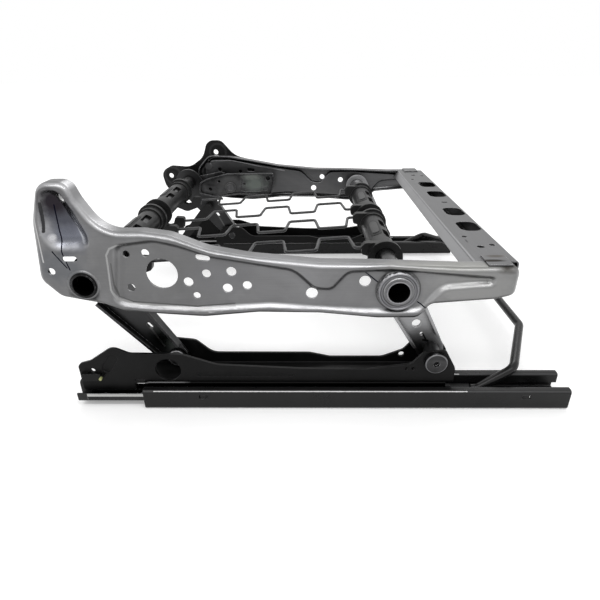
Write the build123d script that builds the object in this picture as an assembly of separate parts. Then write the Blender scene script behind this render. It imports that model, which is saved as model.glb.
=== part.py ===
from build123d import *
import os
from math import atan2, cos, degrees, hypot, pi, radians, sin, sqrt

# Seat cushion frame with a four-bar height adjuster on slide tracks.
# X points to the front of the seat, Y across it and Z up. The origin lies on the floor under the
# middle of the frame. The near side is at negative Y, and the far side mirrors it where it says so.

os.makedirs("parts", exist_ok=True)

# Pivots of the four-bar linkage, seen from the side
rear_tube_x = -225.0
rear_tube_z = 145.0
front_tube_x = 89.5
front_tube_z = 136.0
rear_pivot_x = -150.0
rear_pivot_z = 43.5
front_pivot_x = 135.0
front_pivot_z = 54.0

# Side members, pressed from sheet
half_width = 245.0
member_sheet = 2.0
member_bend = 6.5
top_flange = 18.0
low_flange = 9.0
pocket_depth = 5.0
horn_bowl_depth = 9.0
pocket_draft = 30.0
pocket_floor_r = 2.5
pocket_mouth_r = 3.0

# Cross tubes and what turns on them
tube_r = 12.5
tube_wall = 1.5
tube_stick_out = 2.0
running_gap = 0.05
bush_wall = 1.2
bush_flange = 1.4
sleeve_wall = 3.0
sleeve_ring = 5.0
sleeve_ring_w = 5.0
sleeve_end = 5.0
arm_wide = 9.0

# Links
link_thick = 4.0
link_gap = 6.0
link_lip = 7.0
rear_link_top_r = 24.0
rear_link_low_r = 13.0
front_link_top_r = 20.0
front_link_low_r = 15.0
pin_r = 6.0
open_pivot_gap = 1.0

# Slide tracks
rail_y = half_width - 8.0
rail_half = 21.0
rail_high = 24.0
rail_sheet = 2.0
rail_rear_x = -182.0
rail_front_x = 281.0
lip_in = 11.0
lip_drop = 12.0
neck_half = 6.0
upper_top_z = 26.0
upper_flange_z = 6.5
upper_leg_out = 17.0
upper_leg_top_z = 17.5
upper_rear_x = -246.0
upper_front_x = 150.0
ball_r = 2.0

# Risers
riser_sheet = 3.0
riser_wide = 40.0
riser_out_y = rail_y + neck_half + riser_sheet
riser_in_y = riser_out_y - riser_wide
riser_bend = 4.0
access_hole_r = 14.0
link_y = riser_in_y + riser_sheet + link_gap + link_thick / 2

# Springs under the cushion
wire_r = 1.9
wire_pitch = 41.0
wire_first_jog_x = -153.0
wire_jogs = 6
wire_slant = 2.5
wire_bend = 4.5
wire_rear_x = -197.0
wire_rear_z = 129.6
wire_front_x = 78.0
wire_front_z = 147.0
wire_centre = 41.0
wire_outer = 123.0
wire_swing = 20.0
wire_clearance = 0.3
sleeve_in = wire_centre - wire_swing - arm_wide / 2 - sleeve_end
sleeve_out = wire_outer + wire_swing + arm_wide / 2 + sleeve_end

# Release bar
bar_r = 5.0
bar_lever_x = 188.0
bar_lever_z = 12.6
bar_bend_x = 227.0
bar_bend_z = 35.0
bar_cross_x = 264.0
bar_cross_y = half_width - 96.0
bar_cross_z = 44.0
bar_bend_r = 16.0
lever_pivot_x = 128.0
lever_thick = 5.0
lever_high = 9.0
lever_pin_r = 2.5

# Height drive on the far side
tooth_module = 2.0
sector_teeth = 67
pinion_teeth = 12
sector_shown_teeth = 9
sector_first_gap = -5
pinion_angle = -6.0
gear_thick = 5.0
gear_gap = 3.0
gear_y = link_y + link_thick / 2 + gear_gap + gear_thick / 2
gear_backlash = 0.35
pinion_shaft_r = 6.0
bearing_hole_r = 16.0

pinion_centre = tooth_module * (sector_teeth + pinion_teeth) / 2
pinion_x = rear_tube_x + pinion_centre * cos(radians(pinion_angle))
pinion_z = rear_tube_z + pinion_centre * sin(radians(pinion_angle))


def slab(face, y_a, y_b):
    """A flat face drawn in X and Z, thickened between two Y values."""
    low, high = min(y_a, y_b), max(y_a, y_b)
    return extrude(Plane.XZ.offset(-high) * face, high - low)


def rounded(points):
    """A closed outline from (x, z, corner radius) points."""
    line = FilletPolyline(*[(x, z) for x, z, r in points], radius=[r for x, z, r in points], close=True)
    return make_face(line)


def disc(x, z, r):
    return Pos(x, z) * Circle(r)


def round_bar(x, z, r, y_a, y_b):
    return slab(disc(x, z, r), y_a, y_b)


def far(shape):
    """The mirror image on the far side."""
    return mirror(shape, about=Plane.XZ)


def hull_of(circles):
    """The outline stretched round circles given as (x, z, radius)."""
    return make_hull([Pos(x, z) * Edge.make_circle(r) for x, z, r in circles])


def save(shape, name):
    export_step(shape, f"parts/{name}.step")


# Side members

lower_edge = [
    (-252, 131, 14),
    (-209, 122, 20),
    (-190, 114, 20),
    (-150, 110, 60),
    (-108, 107, 60),
    (-52, 112, 60),
    (11, 111, 60),
    (70, 105, 50),
    (112, 105, 12),
    (124, 121, 8),
    (188, 126, 30),
    (206, 131, 8),
    (207, 161.5, 8),
]
front_top_edge = [
    (150, 161.5, 60),
    (60, 165, 80),
    (11, 166, 80),
    (-58, 173, 80),
    (-100, 181, 60),
    (-133, 195, 40),
]
horn_edge = [
    (-160, 199, 40),
    (-198, 199, 34),
    (-216, 230, 44),
    (-222, 247, 12),
    (-249, 247, 15),
    (-262, 210, 60),
    (-269, 150, 14),
]
near_outline = lower_edge + front_top_edge + horn_edge

pocket_outline = [
    (-199, 122, 10),
    (-187, 187, 10),
    (-150, 192, 30),
    (-128, 187, 30),
    (-95, 175, 60),
    (-14, 161, 24),
    (6, 141, 12),
    (22, 140, 8),
    (38, 159, 14),
    (80, 161, 30),
    (183, 152, 3),
    (183, 143, 3),
    (134, 139, 14),
    (114, 113, 14),
    (60, 112, 60),
    (-40, 119, 80),
    (-108, 115, 60),
    (-160, 117, 30),
]
near_holes = [
    (-146.6, 155, 16.0),
    (-179, 176, 3.6),
    (-160, 177, 4.0),
    (-180, 140, 4.2),
    (-102, 155, 4.5),
    (-121, 146, 5.0),
    (-114, 131, 3.7),
    (-77, 157, 5.0),
    (-82, 139, 5.0),
    (-62, 142, 4.6),
    (3, 133, 6.0),
    (56, 146, 5.8),
]
far_holes = [
    (pinion_x, pinion_z, bearing_hole_r),
    (-169, 164, 3.6),
    (-130, 160, 3.2),
    (-82, 139, 4.4),
    (9, 128, 5.0),
    (25, 148, 4.4),
    (60, 143, 4.6),
]
horn_holes = [
    (-230, 231.5, 5.0),
    (-254, 160, 3.7),
]
member_slots = [(-104, 172, 14.7, 6.4, -8)]
far_slots = [(-110, 163, 14.7, 5.6, -6)]
horn_slots = [(-233, 173, 14.8, 5.6, 0)]
horn_bowl = [
    (-246, 240, 9),
    (-229, 240, 9),
    (-219, 214, 30),
    (-211, 196, 12),
    (-212, 184, 8),
    (-250, 182, 12),
    (-255, 205, 25),
]
ring_r = 20.0
ring_dish = 1.2
rim_high = 0.8
rim_wide = 1.6
tube_hole_r = tube_r + running_gap + bush_wall
low_trim_rear_x = -246.0
low_trim_front_x = 204.0
low_trim_top_z = 130.0
low_trim_high = 40.0


def tray(outline, depth):
    """A pressed tray: a web with a flange all round, both one sheet thick."""
    face = rounded(outline)
    block = slab(face, -half_width, -half_width + depth)
    rim = block.faces().sort_by(Axis.Y)[0].edges()
    block = fillet(rim, member_bend)
    core = slab(offset(face, -member_sheet), -half_width + member_sheet, -half_width + depth + 1)
    core_rim = core.faces().sort_by(Axis.Y)[0].edges()
    core = fillet(core_rim, member_bend - member_sheet)
    return block - core


def recess(shell, face, depth, draft):
    """Presses a face inwards by a depth: sloping walls, rounded at the mouth and at the floor."""
    outside = Plane.XZ.offset(half_width) * face
    cut = extrude(outside, -depth, taper=draft)
    cut = fillet(cut.faces().sort_by(Axis.Y)[-1].edges(), pocket_floor_r)
    backed = Plane.XZ.offset(half_width) * offset(face, member_sheet * 0.8)
    boss = extrude(backed, -(depth + member_sheet), taper=draft)
    pressed = shell + boss - cut
    web = pressed.faces().filter_by(Plane.XZ).sort_by(Axis.Y)[0]
    mouth = max(web.inner_wires(), key=lambda wire: wire.length)
    return fillet(mouth.edges(), pocket_mouth_r)


def trim_low_flange(body):
    """The lower flange is shallower than the rest, so that the links pass it."""
    length = low_trim_front_x - low_trim_rear_x
    box = Box(length, top_flange, low_trim_high, align=(Align.MIN, Align.MIN, Align.MAX))
    return body - Pos(low_trim_rear_x, -half_width + low_flange, low_trim_top_z) * box


def tube_seat(body, x, z, r, sunk):
    """A flat ring pressed round a tube's hole, flush with the web outside."""
    back = -half_width + sunk + member_sheet
    body += round_bar(x, z, r, -half_width - rim_high, back)
    body -= round_bar(x, z, r - rim_wide, -half_width - rim_high, -half_width + ring_dish)
    body += round_bar(x, z, tube_hole_r + rim_wide, -half_width - rim_high, back)
    return body - round_bar(x, z, tube_hole_r, -half_width - 9, back + 9)


def drillings(holes):
    cut = Part()
    for x, z, r in holes:
        cut += round_bar(x, z, r, -half_width - 3, -half_width + 16)
    return cut


def slots(places):
    cut = Part()
    for x, z, length, wide, turn in places:
        face = Pos(x, z) * Rot(0, 0, turn) * SlotOverall(length, wide)
        cut += slab(face, -half_width - 3, -half_width + 16)
    return cut


def side_member_near():
    body = tray(near_outline, top_flange)
    body = trim_low_flange(body)
    body = recess(body, rounded(pocket_outline), pocket_depth, pocket_draft)
    body = recess(body, rounded(horn_bowl), horn_bowl_depth, pocket_draft)
    body = tube_seat(body, front_tube_x, front_tube_z, ring_r, pocket_depth)
    body = tube_seat(body, rear_tube_x, rear_tube_z, tube_hole_r + 2.2, 0)
    body -= drillings(near_holes + horn_holes)
    body -= slots(member_slots + horn_slots)
    return body


def side_member_far():
    """The far member has no horn: a bolted bracket carries the recliner there."""
    body = tray(far_outline, top_flange)
    body = trim_low_flange(body)
    body = recess(body, rounded(pocket_outline_far), pocket_depth, pocket_draft)
    body = tube_seat(body, front_tube_x, front_tube_z, ring_r, pocket_depth)
    boss_in = -half_width + pocket_depth + member_sheet + rim_high
    body += round_bar(*far_boss, -half_width, boss_in)
    body -= drillings(far_holes)
    body -= slots(far_slots)
    return far(body)


far_boss = (-190, 170, 7.0)
far_outline = [
    (-208, 118, 12),
    (-150, 110, 60),
    (-108, 107, 60),
    (-52, 112, 60),
    (11, 111, 60),
    (70, 105, 50),
    (112, 105, 12),
    (124, 121, 8),
    (188, 126, 30),
    (206, 131, 8),
    (207, 161.5, 8),
    (150, 161.5, 60),
    (60, 165, 80),
    (11, 166, 80),
    (-58, 173, 80),
    (-100, 181, 60),
    (-150, 190, 40),
    (-186, 192, 20),
    (-208, 168, 20),
]
pocket_outline_far = [
    (-199, 124, 10),
    (-199, 165, 14),
    (-184, 184, 12),
    (-150, 184, 30),
    (-95, 174, 60),
    (-14, 161, 24),
    (6, 141, 12),
    (22, 140, 8),
    (38, 159, 14),
    (80, 160, 30),
    (183, 152, 3),
    (183, 143, 3),
    (134, 139, 14),
    (114, 113, 14),
    (60, 112, 60),
    (-40, 119, 80),
    (-108, 115, 60),
    (-160, 117, 30),
]

# Recliner bracket on the outside of the far member
bracket_thick = 3.5
bracket_outline = [
    (-276, 126, 16),
    (-283, 160, 16),
    (-262, 171, 14),
    (-226, 168, 30),
    (-200, 186, 30),
    (-190, 216, 16),
    (-164, 216, 16),
    (-140, 188, 40),
    (-100, 178, 6),
    (-100, 118, 6),
    (-210, 116, 30),
]
upper_ear = (-175, 195, 4.6)
lower_ear = (-265, 152, 4.6)
rivet_r = 4.5
rivet_shank_r = 2.6
bracket_rivets_at = [(-190, 150), (-186, 178), (-112, 170), (-112, 126)]


def recliner_bracket():
    face = rounded(bracket_outline)
    plate = slab(face, half_width, half_width + bracket_thick)
    for x, z, r in (upper_ear, lower_ear):
        plate += round_bar(x, z, r + 4, half_width, half_width + bracket_thick + 1)
        plate -= round_bar(x, z, r, half_width - 5, half_width + 9)
    plate -= round_bar(rear_tube_x, rear_tube_z, tube_hole_r, half_width - 5, half_width + 9)
    plate -= round_bar(pinion_x, pinion_z, bearing_hole_r, half_width - 5, half_width + 9)
    for x, z in bracket_rivets_at:
        plate -= round_bar(x, z, rivet_shank_r, half_width - 5, half_width + 9)
    return plate


# Cross tubes with their bushes

rear_tube_near_y = -half_width - tube_stick_out
rear_tube_far_y = half_width + bracket_thick + tube_stick_out


def tube(x, z, y_a, y_b, r_out, r_in):
    return slab(disc(x, z, r_out) - disc(x, z, r_in), y_a, y_b)


def bush(x, z, y_outside, y_seat):
    """A plain bush pressed into a hole from inside, its flange at y_seat."""
    turned_in = 1 if y_seat < 0 else -1
    inside = y_seat + turned_in * bush_flange
    r_in = tube_r + running_gap
    barrel = tube(x, z, y_outside, inside, tube_hole_r, r_in)
    return barrel + tube(x, z, y_seat, inside, tube_hole_r + bush_flange_r, r_in)


rear_web_y = -half_width + member_sheet
front_web_y = -half_width + pocket_depth + member_sheet
bush_out = 1.2
bush_flange_r = 1.6


# Height links

def link(low_x, low_z, top_x, top_z, low_r, top_r, bore_r, lip_stop):
    """A pressed link: a plate with a lip along both sides, turned outwards.

    The lips end lip_stop short of the tube's centre.
    """
    length = hypot(top_x - low_x, top_z - low_z)
    turn = degrees(atan2(top_z - low_z, top_x - low_x))
    outline = make_hull([Edge.make_circle(low_r), Pos(length, 0) * Edge.make_circle(top_r)])
    lips = outline - offset(outline, -lip_sheet)
    lip_start = low_r - 2
    lip_long = length - lip_stop - lip_start
    band = Pos(lip_start + lip_long / 2, 0) * Rectangle(lip_long, 4 * top_r)
    place = Pos(low_x, low_z) * Rot(0, 0, turn)
    inner_y, outer_y = -link_y + link_thick / 2, -link_y - link_thick / 2
    shape = slab(place * outline, inner_y, outer_y)
    shape += slab(place * (lips & band), inner_y, outer_y - link_lip)
    shape -= round_bar(low_x, low_z, bore_r, -link_y - 20, -link_y + 20)
    return shape - round_bar(top_x, top_z, tube_r, -link_y - 20, -link_y + 20)


lip_sheet = 3.0
gear_lip_stop = 64.0
rear_link_slot = (-176, 84, 8.5, 4.6, -53)
front_link_holes = [(117, 86, 5.0), (124, 73, 2.2)]


def rear_link(lip_stop):
    shape = link(
        rear_pivot_x, rear_pivot_z, rear_tube_x, rear_tube_z,
        rear_link_low_r, rear_link_top_r, pin_r + running_gap, lip_stop,
    )
    x, z, length, wide, turn = rear_link_slot
    slot = Pos(x, z) * Rot(0, 0, turn) * SlotOverall(length, wide)
    return shape - slab(slot, -link_y - 20, -link_y + 20)


def front_link():
    shape = link(
        front_pivot_x, front_pivot_z, front_tube_x, front_tube_z,
        front_link_low_r, front_link_top_r, pin_r + open_pivot_gap, front_link_top_r,
    )
    for x, z, r in front_link_holes:
        shape -= round_bar(x, z, r, -link_y - 20, -link_y + 20)
    return shape


# Risers: channels that stand on the upper rails

riser_rear_x = -182.0
riser_front_x = 157.0
riser_base_z = upper_top_z
riser_wall_z = 31.0
riser_outer_wall = [
    (-252, 17, 2),
    (-193, 17, 1),
    (-193, riser_wall_z, 1),
    (riser_front_x, riser_wall_z, 1),
    (riser_front_x, 46, 8),
    (145, 68, 4),
    (122, 66, 6),
    (110, 51, 12),
    (62, 44, 30),
    (-10, 45, 60),
    (-100, 50, 30),
    (-138, 63.5, 24),
    (-194, 64.5, 14),
    (-211, 73, 12),
    (-238, 55, 10),
    (-252, 51, 6),
]
riser_inner_wall = [
    (riser_rear_x, riser_wall_z - 2, 1),
    (riser_front_x, riser_wall_z - 2, 1),
    (riser_front_x, 46, 8),
    (145, 66, 4),
    (122, 64, 6),
    (108, 46, 12),
    (84, 36, 20),
    (24, 36, 20),
    (0, 41.5, 20),
    (-112, 42, 20),
    (-130, 59, 12),
    (-164, 63, 14),
    (-178, 44, 12),
    (riser_rear_x, 42, 2),
]
riser_inner_hole = (106, 40, 3.2)
riser_small_holes = [(-237, 43, 2.6), (105, 45, 2.0), (112, 45, 2.0)]
riser_bead = (-70, 37, 106, 4.5)
bead_depth = 1.0
riser_dimple = (-217, 52, 26, 11, 56)
base_rear_x = -250.0
base_rear_wide = 18.0


def riser():
    wide = riser_out_y - riser_in_y
    mid = (riser_out_y + riser_in_y) / 2
    high = riser_wall_z + 4 - riser_base_z
    outer = Pos(-mid, riser_base_z + high / 2) * Rectangle(wide, high)
    outer = fillet(outer.vertices().sort_by(Axis.Y)[:2], riser_bend)
    inner = Pos(-mid, riser_base_z + riser_sheet + high / 2) * Rectangle(wide - 2 * riser_sheet, high)
    inner = fillet(inner.vertices().sort_by(Axis.Y)[:2], riser_bend - riser_sheet)
    base = extrude(Plane.YZ.offset(riser_rear_x) * (outer - inner), riser_front_x - riser_rear_x)
    out_face, in_face = rounded(riser_outer_wall), rounded(riser_inner_wall)
    shape = base + slab(out_face, -riser_out_y, -riser_out_y + riser_sheet)
    shape += slab(in_face, -riser_in_y - riser_sheet, -riser_in_y)
    shape -= round_bar(
        rear_pivot_x - 4, rear_pivot_z, access_hole_r, -riser_out_y - 1, -riser_out_y + riser_sheet + 1
    )
    for x, z, r in riser_small_holes:
        shape -= round_bar(x, z, r, -riser_out_y - 1, -riser_out_y + riser_sheet + 1)
    x, z, length, deep = riser_bead
    shape -= slab(Pos(x, z) * SlotOverall(length, deep), -riser_out_y, -riser_out_y + bead_depth)
    x, z, length, deep, turn = riser_dimple
    dimple = Pos(x, z) * Rot(0, 0, turn) * SlotOverall(length, deep)
    shape -= slab(dimple, -riser_out_y, -riser_out_y + bead_depth)
    rear_base = Box(
        riser_rear_x - base_rear_x, base_rear_wide, riser_sheet, align=(Align.MIN, Align.MIN, Align.MIN)
    )
    shape += Pos(base_rear_x, -riser_out_y, riser_base_z) * rear_base
    shape -= round_bar(*riser_inner_hole, -riser_in_y - riser_sheet - 1, -riser_in_y + 1)
    shape -= round_bar(rear_pivot_x, rear_pivot_z, pin_r, -riser_in_y - riser_sheet - 1, -riser_in_y + 1)
    shape -= round_bar(front_pivot_x, front_pivot_z, pin_r, -riser_out_y - 1, -riser_in_y + 1)
    return shape


# Pivots

seat_gap = 0.3
link_in_y = -link_y + link_thick / 2
link_out_y = -link_y - link_thick / 2
spacer_r = 9.0
stud_head_r = 10.0
bolt_head_r = 12.0
bolt_head_high = 5.0
socket_r = 3.2
nut_flat = 18.0
nut_high = 7.0
horn_nut_flat = 17.0
horn_nut_bore_r = 4.2


def rear_stud():
    """A shouldered stud riveted into the riser's inner wall."""
    x, z = rear_pivot_x, rear_pivot_z
    wall_in, wall_out = -riser_in_y, -riser_in_y - riser_sheet
    shape = round_bar(x, z, pin_r, wall_in, link_out_y - seat_gap)
    shape += round_bar(x, z, spacer_r, wall_out, link_in_y + seat_gap)
    shape += round_bar(x, z, stud_head_r, link_out_y - seat_gap, link_out_y - 4)
    return shape - round_bar(x, z, 4, link_out_y - 3, link_out_y - 5)


def front_bolt():
    x, z = front_pivot_x, front_pivot_z
    head_y = -riser_out_y - bolt_head_high
    shape = round_bar(x, z, pin_r, -riser_out_y, -riser_in_y + nut_high + 1)
    head = round_bar(x, z, bolt_head_r, -riser_out_y, head_y)
    head = fillet(head.edges().filter_by(GeomType.CIRCLE).sort_by(Axis.Y)[0], 1.2)
    return shape + head - round_bar(x, z, socket_r, head_y - 1, head_y + 3)


def front_spacers():
    x, z = front_pivot_x, front_pivot_z
    outer = tube(x, z, -riser_out_y + riser_sheet, link_out_y - seat_gap, spacer_r, pin_r)
    inner = tube(x, z, link_in_y + seat_gap, -riser_in_y - riser_sheet, spacer_r, pin_r)
    return [outer, inner]


def hex_nut(x, z, flat, y_seat, y_end, bore):
    face = Pos(x, z) * RegularPolygon(flat / 2, 6, major_radius=False)
    return slab(face, y_seat, y_end) - round_bar(x, z, bore, y_seat - 9, y_end + 9)


# Slide tracks

def mirrored_profile(half):
    """A closed outline in Y and Z from its right half, given as (y, z, corner radius)."""
    points = half + [(-y, z, r) for y, z, r in reversed(half)]
    line = FilletPolyline(*[(y, z) for y, z, r in points], radius=[r for y, z, r in points], close=True)
    return make_face(line)


sheet_edge_r = 0.6
rail_bend = 3.2
lower_half = [
    (rail_half, 0, rail_bend),
    (rail_half, rail_high, rail_bend),
    (lip_in, rail_high, rail_bend),
    (lip_in, lip_drop, sheet_edge_r),
    (lip_in + rail_sheet, lip_drop, sheet_edge_r),
    (lip_in + rail_sheet, rail_high - rail_sheet, rail_bend - rail_sheet),
    (rail_half - rail_sheet, rail_high - rail_sheet, rail_bend - rail_sheet),
    (rail_half - rail_sheet, rail_sheet, rail_bend - rail_sheet),
]
upper_half = [
    (neck_half, upper_top_z, rail_bend),
    (neck_half, upper_flange_z + rail_sheet, sheet_edge_r),
    (upper_leg_out - rail_sheet, upper_flange_z + rail_sheet, rail_bend - rail_sheet),
    (upper_leg_out - rail_sheet, upper_leg_top_z, sheet_edge_r),
    (upper_leg_out, upper_leg_top_z, sheet_edge_r),
    (upper_leg_out, upper_flange_z, rail_bend),
    (neck_half - rail_sheet, upper_flange_z, rail_bend),
    (neck_half - rail_sheet, upper_top_z - rail_sheet, rail_bend - rail_sheet),
]
bolt_hole_r = 4.5
bolt_hole_x = [-150.0, 250.0]
cap_long = 11.0
stop_x = [-116.0, 234.0]
stop_z = 16.0
stop_long = 9.0
stop_high = 5.0


def along_x(face, y, x_a, x_b):
    return extrude(Plane.YZ.offset(x_a) * Pos(y, 0) * face, x_b - x_a)


def lower_rail():
    shape = along_x(mirrored_profile(lower_half), -rail_y, rail_rear_x, rail_front_x)
    for x in bolt_hole_x:
        shape -= Pos(x, -rail_y, 0) * Cylinder(bolt_hole_r, 3 * rail_sheet)
    wall_out, wall_in = -rail_y - rail_half, -rail_y - rail_half + rail_sheet
    for x in stop_x:
        window = Pos(x, stop_z) * Rectangle(stop_long, stop_high)
        shape -= slab(window, wall_out - 1, wall_in + 0.5)
        tongue = Pos(x, stop_z) * Rectangle(stop_long - 2, stop_high)
        shape += slab(tongue, wall_in - 1, wall_in + 0.6)
    return shape


def upper_rail():
    shape = along_x(mirrored_profile(upper_half), -rail_y, upper_rear_x, upper_front_x)
    pin_z = lever_pivot_z
    hole = round_bar(lever_pivot_x, pin_z, lever_pin_r, -rail_y - neck_half - 1, -rail_y + neck_half + 1)
    return shape - hole


def rail_cap():
    """The plastic end piece: the upper rail's section with its neck filled."""
    face = mirrored_profile(upper_half)
    face += Pos(0, (upper_flange_z + upper_top_z) / 2) * Rectangle(
        2 * neck_half, upper_top_z - upper_flange_z - 2 * rail_bend
    )
    return along_x(face, -rail_y, upper_rear_x - cap_long, upper_rear_x)


leg_mid = upper_leg_out - rail_sheet / 2
ball_rows = [
    (leg_mid, (upper_leg_top_z + rail_high - rail_sheet) / 2),
    (leg_mid, (rail_sheet + upper_flange_z) / 2),
]
ball_at_x = [-120.0, -20.0, 80.0]
cage_thick = 1.0
cage_wide = 3.4
cage_end = 8.0
cage_gap = 0.15


def balls_and_cages(y_rail):
    balls, cages = [], []
    for side in (-1, 1):
        for y, z in ball_rows:
            y_row = y_rail + side * y
            long = ball_at_x[-1] - ball_at_x[0] + 2 * cage_end
            mid_x = (ball_at_x[-1] + ball_at_x[0]) / 2
            cage = Pos(mid_x, y_row, z) * Box(long, cage_wide, cage_thick)
            for x in ball_at_x:
                cage -= Pos(x, y_row, z) * Cylinder(ball_r + cage_gap - 0.6, 3)
                cage -= Pos(x, y_row, z) * Sphere(ball_r + cage_gap)
                balls.append(Pos(x, y_row, z) * Sphere(ball_r))
            cages.append(cage)
    return balls, cages


# Release bar and its levers

lever_pivot_z = 14.0
lever_rear_x = 100.0
lever_flat_x = 153.0
lever_flat_wide = 13.0
lever_flat_thick = 5.0
bar_start_x = 180.0


def release_bar():
    half = [
        (bar_start_x, rail_y, bar_lever_z),
        (bar_lever_x, rail_y, bar_lever_z),
        (bar_bend_x, rail_y - 6, bar_bend_z),
        (bar_cross_x, bar_cross_y, bar_cross_z),
    ]
    points = [(x, -y, z) for x, y, z in half] + list(reversed(half))
    path = FilletPolyline(*points, radius=bar_bend_r)
    start = Plane(origin=points[0], z_dir=(1, 0, 0))
    return sweep(start * Circle(bar_r), path=path)


def lock_lever():
    from_rear = (Align.MIN, Align.CENTER, Align.CENTER)
    blade = Box(lever_flat_x - lever_rear_x + 4, lever_thick, lever_high, align=from_rear)
    shape = Pos(lever_rear_x, -rail_y, bar_lever_z) * blade
    flat = Box(bar_start_x - lever_flat_x, lever_flat_wide, lever_flat_thick, align=from_rear)
    shape += Pos(lever_flat_x, -rail_y, bar_lever_z) * flat
    return shape - round_bar(
        lever_pivot_x, lever_pivot_z, lever_pin_r + running_gap, -rail_y - 9, -rail_y + 9
    )


def lever_pin():
    reach = neck_half + 1
    return round_bar(lever_pivot_x, lever_pivot_z, lever_pin_r, -rail_y - reach, -rail_y + reach)


# Spring clips on the rear ends of the risers

clip_at = (-239.0, 36.0)
clip_long = 21.0
clip_high = 9.0
clip_sheet = 1.5
clip_stand = 4.0
clip_pin = (-226.0, 38.0, 1.6)


def rear_clip():
    """A strap folded off the riser's outer wall, and a small pin beside it for a return spring."""
    x, z = clip_at
    y = -riser_out_y
    strap = slab(Pos(x, z) * Rectangle(clip_long, clip_high), y - clip_stand, y - clip_stand + clip_sheet)
    foot = slab(Pos(x - clip_long / 2 + 3, z) * Rectangle(6, clip_high), y - clip_stand, y)
    pin_x, pin_z, r = clip_pin
    pin = round_bar(pin_x, pin_z, r, y - 2.5 * clip_stand, y)
    return [strap + foot, pin]


# Front pan

pan_sheet = 1.5
pan_top_z = 161.5
pan_rear_x = 166.0
pan_front_x = 211.0
pan_half = half_width - top_flange - seat_gap
pan_hole_y = [-112.0, -48.0, 48.0, 112.0]
pan_hole_x = 194.0
pan_deep = 24.0
pan_end_holes = [(178, 76.0, 3), (186, 42.0, 4), (200, 48.0, 3.2)]
pan_tab = (188.0, 24.0, 26.0)


def front_pan():
    """A folded rail, closed underneath by a second sheet between its two flanges."""
    top, low = pan_top_z, pan_top_z - pan_deep
    outside = [
        (pan_rear_x - 8, low, 0.5),
        (pan_rear_x, top, 3),
        (pan_front_x, top, 4),
        (pan_front_x, low, 2),
    ]
    inside = [
        (pan_rear_x - 8 + pan_sheet + 0.6, low + pan_sheet, 0.5),
        (pan_rear_x + pan_sheet, top - pan_sheet, 1.5),
        (pan_front_x - pan_sheet, top - pan_sheet, 2.5),
        (pan_front_x - pan_sheet, low + pan_sheet, 0.5),
    ]
    shape = slab(rounded(outside) - rounded(inside), -pan_half, pan_half)
    for y in pan_hole_y:
        shape -= Pos(pan_hole_x, y, top) * extrude(RectangleRounded(25, 37, 10), 2 * pan_sheet, both=True)
    shape -= Pos(pan_hole_x, 0, top) * extrude(RectangleRounded(9, 6, 2.9), 2 * pan_sheet, both=True)
    tab_x, tab_long, tab_wide = pan_tab
    for side in (-1, 1):
        for x, inset, r in pan_end_holes:
            shape -= Pos(x, side * (pan_half - inset), top) * Cylinder(r, 4 * pan_sheet)
        tab = Box(tab_long, tab_wide, pan_sheet, align=(Align.CENTER, Align.CENTER, Align.MIN))
        shape += Pos(tab_x, side * pan_half, top) * tab
    return shape


# Spring wires and the sleeves that hold them

def wire_z(x):
    return wire_rear_z + (x - wire_rear_x) * (wire_front_z - wire_rear_z) / (wire_front_x - wire_rear_x)


def wire_points(middle, side, outer):
    """Zigzag points: the ends stay beside the sleeve arms, the loops swing both ways."""
    sign = 1 if outer else -1
    y = side * (middle + sign * wire_swing)
    points = [(wire_rear_x, y)]
    for jog in range(wire_jogs):
        x = wire_first_jog_x + jog * wire_pitch
        points.append((x - wire_slant, y))
        y = side * 2 * middle - y
        points.append((x + wire_slant, y))
    points.append((wire_front_x, y))
    return [(x, y, wire_z(x)) for x, y in points]


def spring_wire(middle, side, outer):
    points = wire_points(middle, side, outer)
    path = FilletPolyline(*points, radius=wire_bend)
    start = Plane(origin=points[0], z_dir=Vector(*points[1]) - Vector(*points[0]))
    return sweep(start * Circle(wire_r), path=path)


def wire_bore(y, x_a, x_b):
    """The clearance hole that a wire end sits in."""
    a, b = Vector(x_a, y, wire_z(x_a)), Vector(x_b, y, wire_z(x_b))
    plane = Plane(origin=a, z_dir=b - a)
    return extrude(plane * Circle(wire_r + wire_clearance), (b - a).length)


inner_arm_y = wire_centre - wire_swing
outer_arm_y = wire_outer + wire_swing
sleeve_r = tube_r + running_gap + sleeve_wall


def sleeve(x, z, arm, bore_from, bore_to):
    """A moulded sleeve with a flange ring at each end and an arm for each of its two wires."""
    shape = round_bar(x, z, sleeve_r, -sleeve_out, -sleeve_in)
    for y in (-sleeve_out, -sleeve_in - sleeve_ring_w):
        shape += round_bar(x, z, sleeve_r + sleeve_ring, y, y + sleeve_ring_w)
    for y in (inner_arm_y, outer_arm_y):
        shape += slab(rounded(arm), -y - arm_wide / 2, -y + arm_wide / 2)
        collar = arm_wide / 2 + 2
        shape += round_bar(x, z, sleeve_r + 2, -y - collar, -y + collar)
        shape -= wire_bore(-y, bore_from, bore_to)
    shape -= round_bar(x, z, tube_r + running_gap, -sleeve_out - 1, -sleeve_in + 1)
    window = Box(2 * sleeve_r, window_long, window_high)
    middle = -(sleeve_out + sleeve_in) / 2
    for y in (middle - window_apart / 2, middle + window_apart / 2):
        shape -= Pos(x, y, z) * Rot(0, window_turn, 0) * Pos(sleeve_r * 1.1, 0, 0) * window
    return shape


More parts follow.
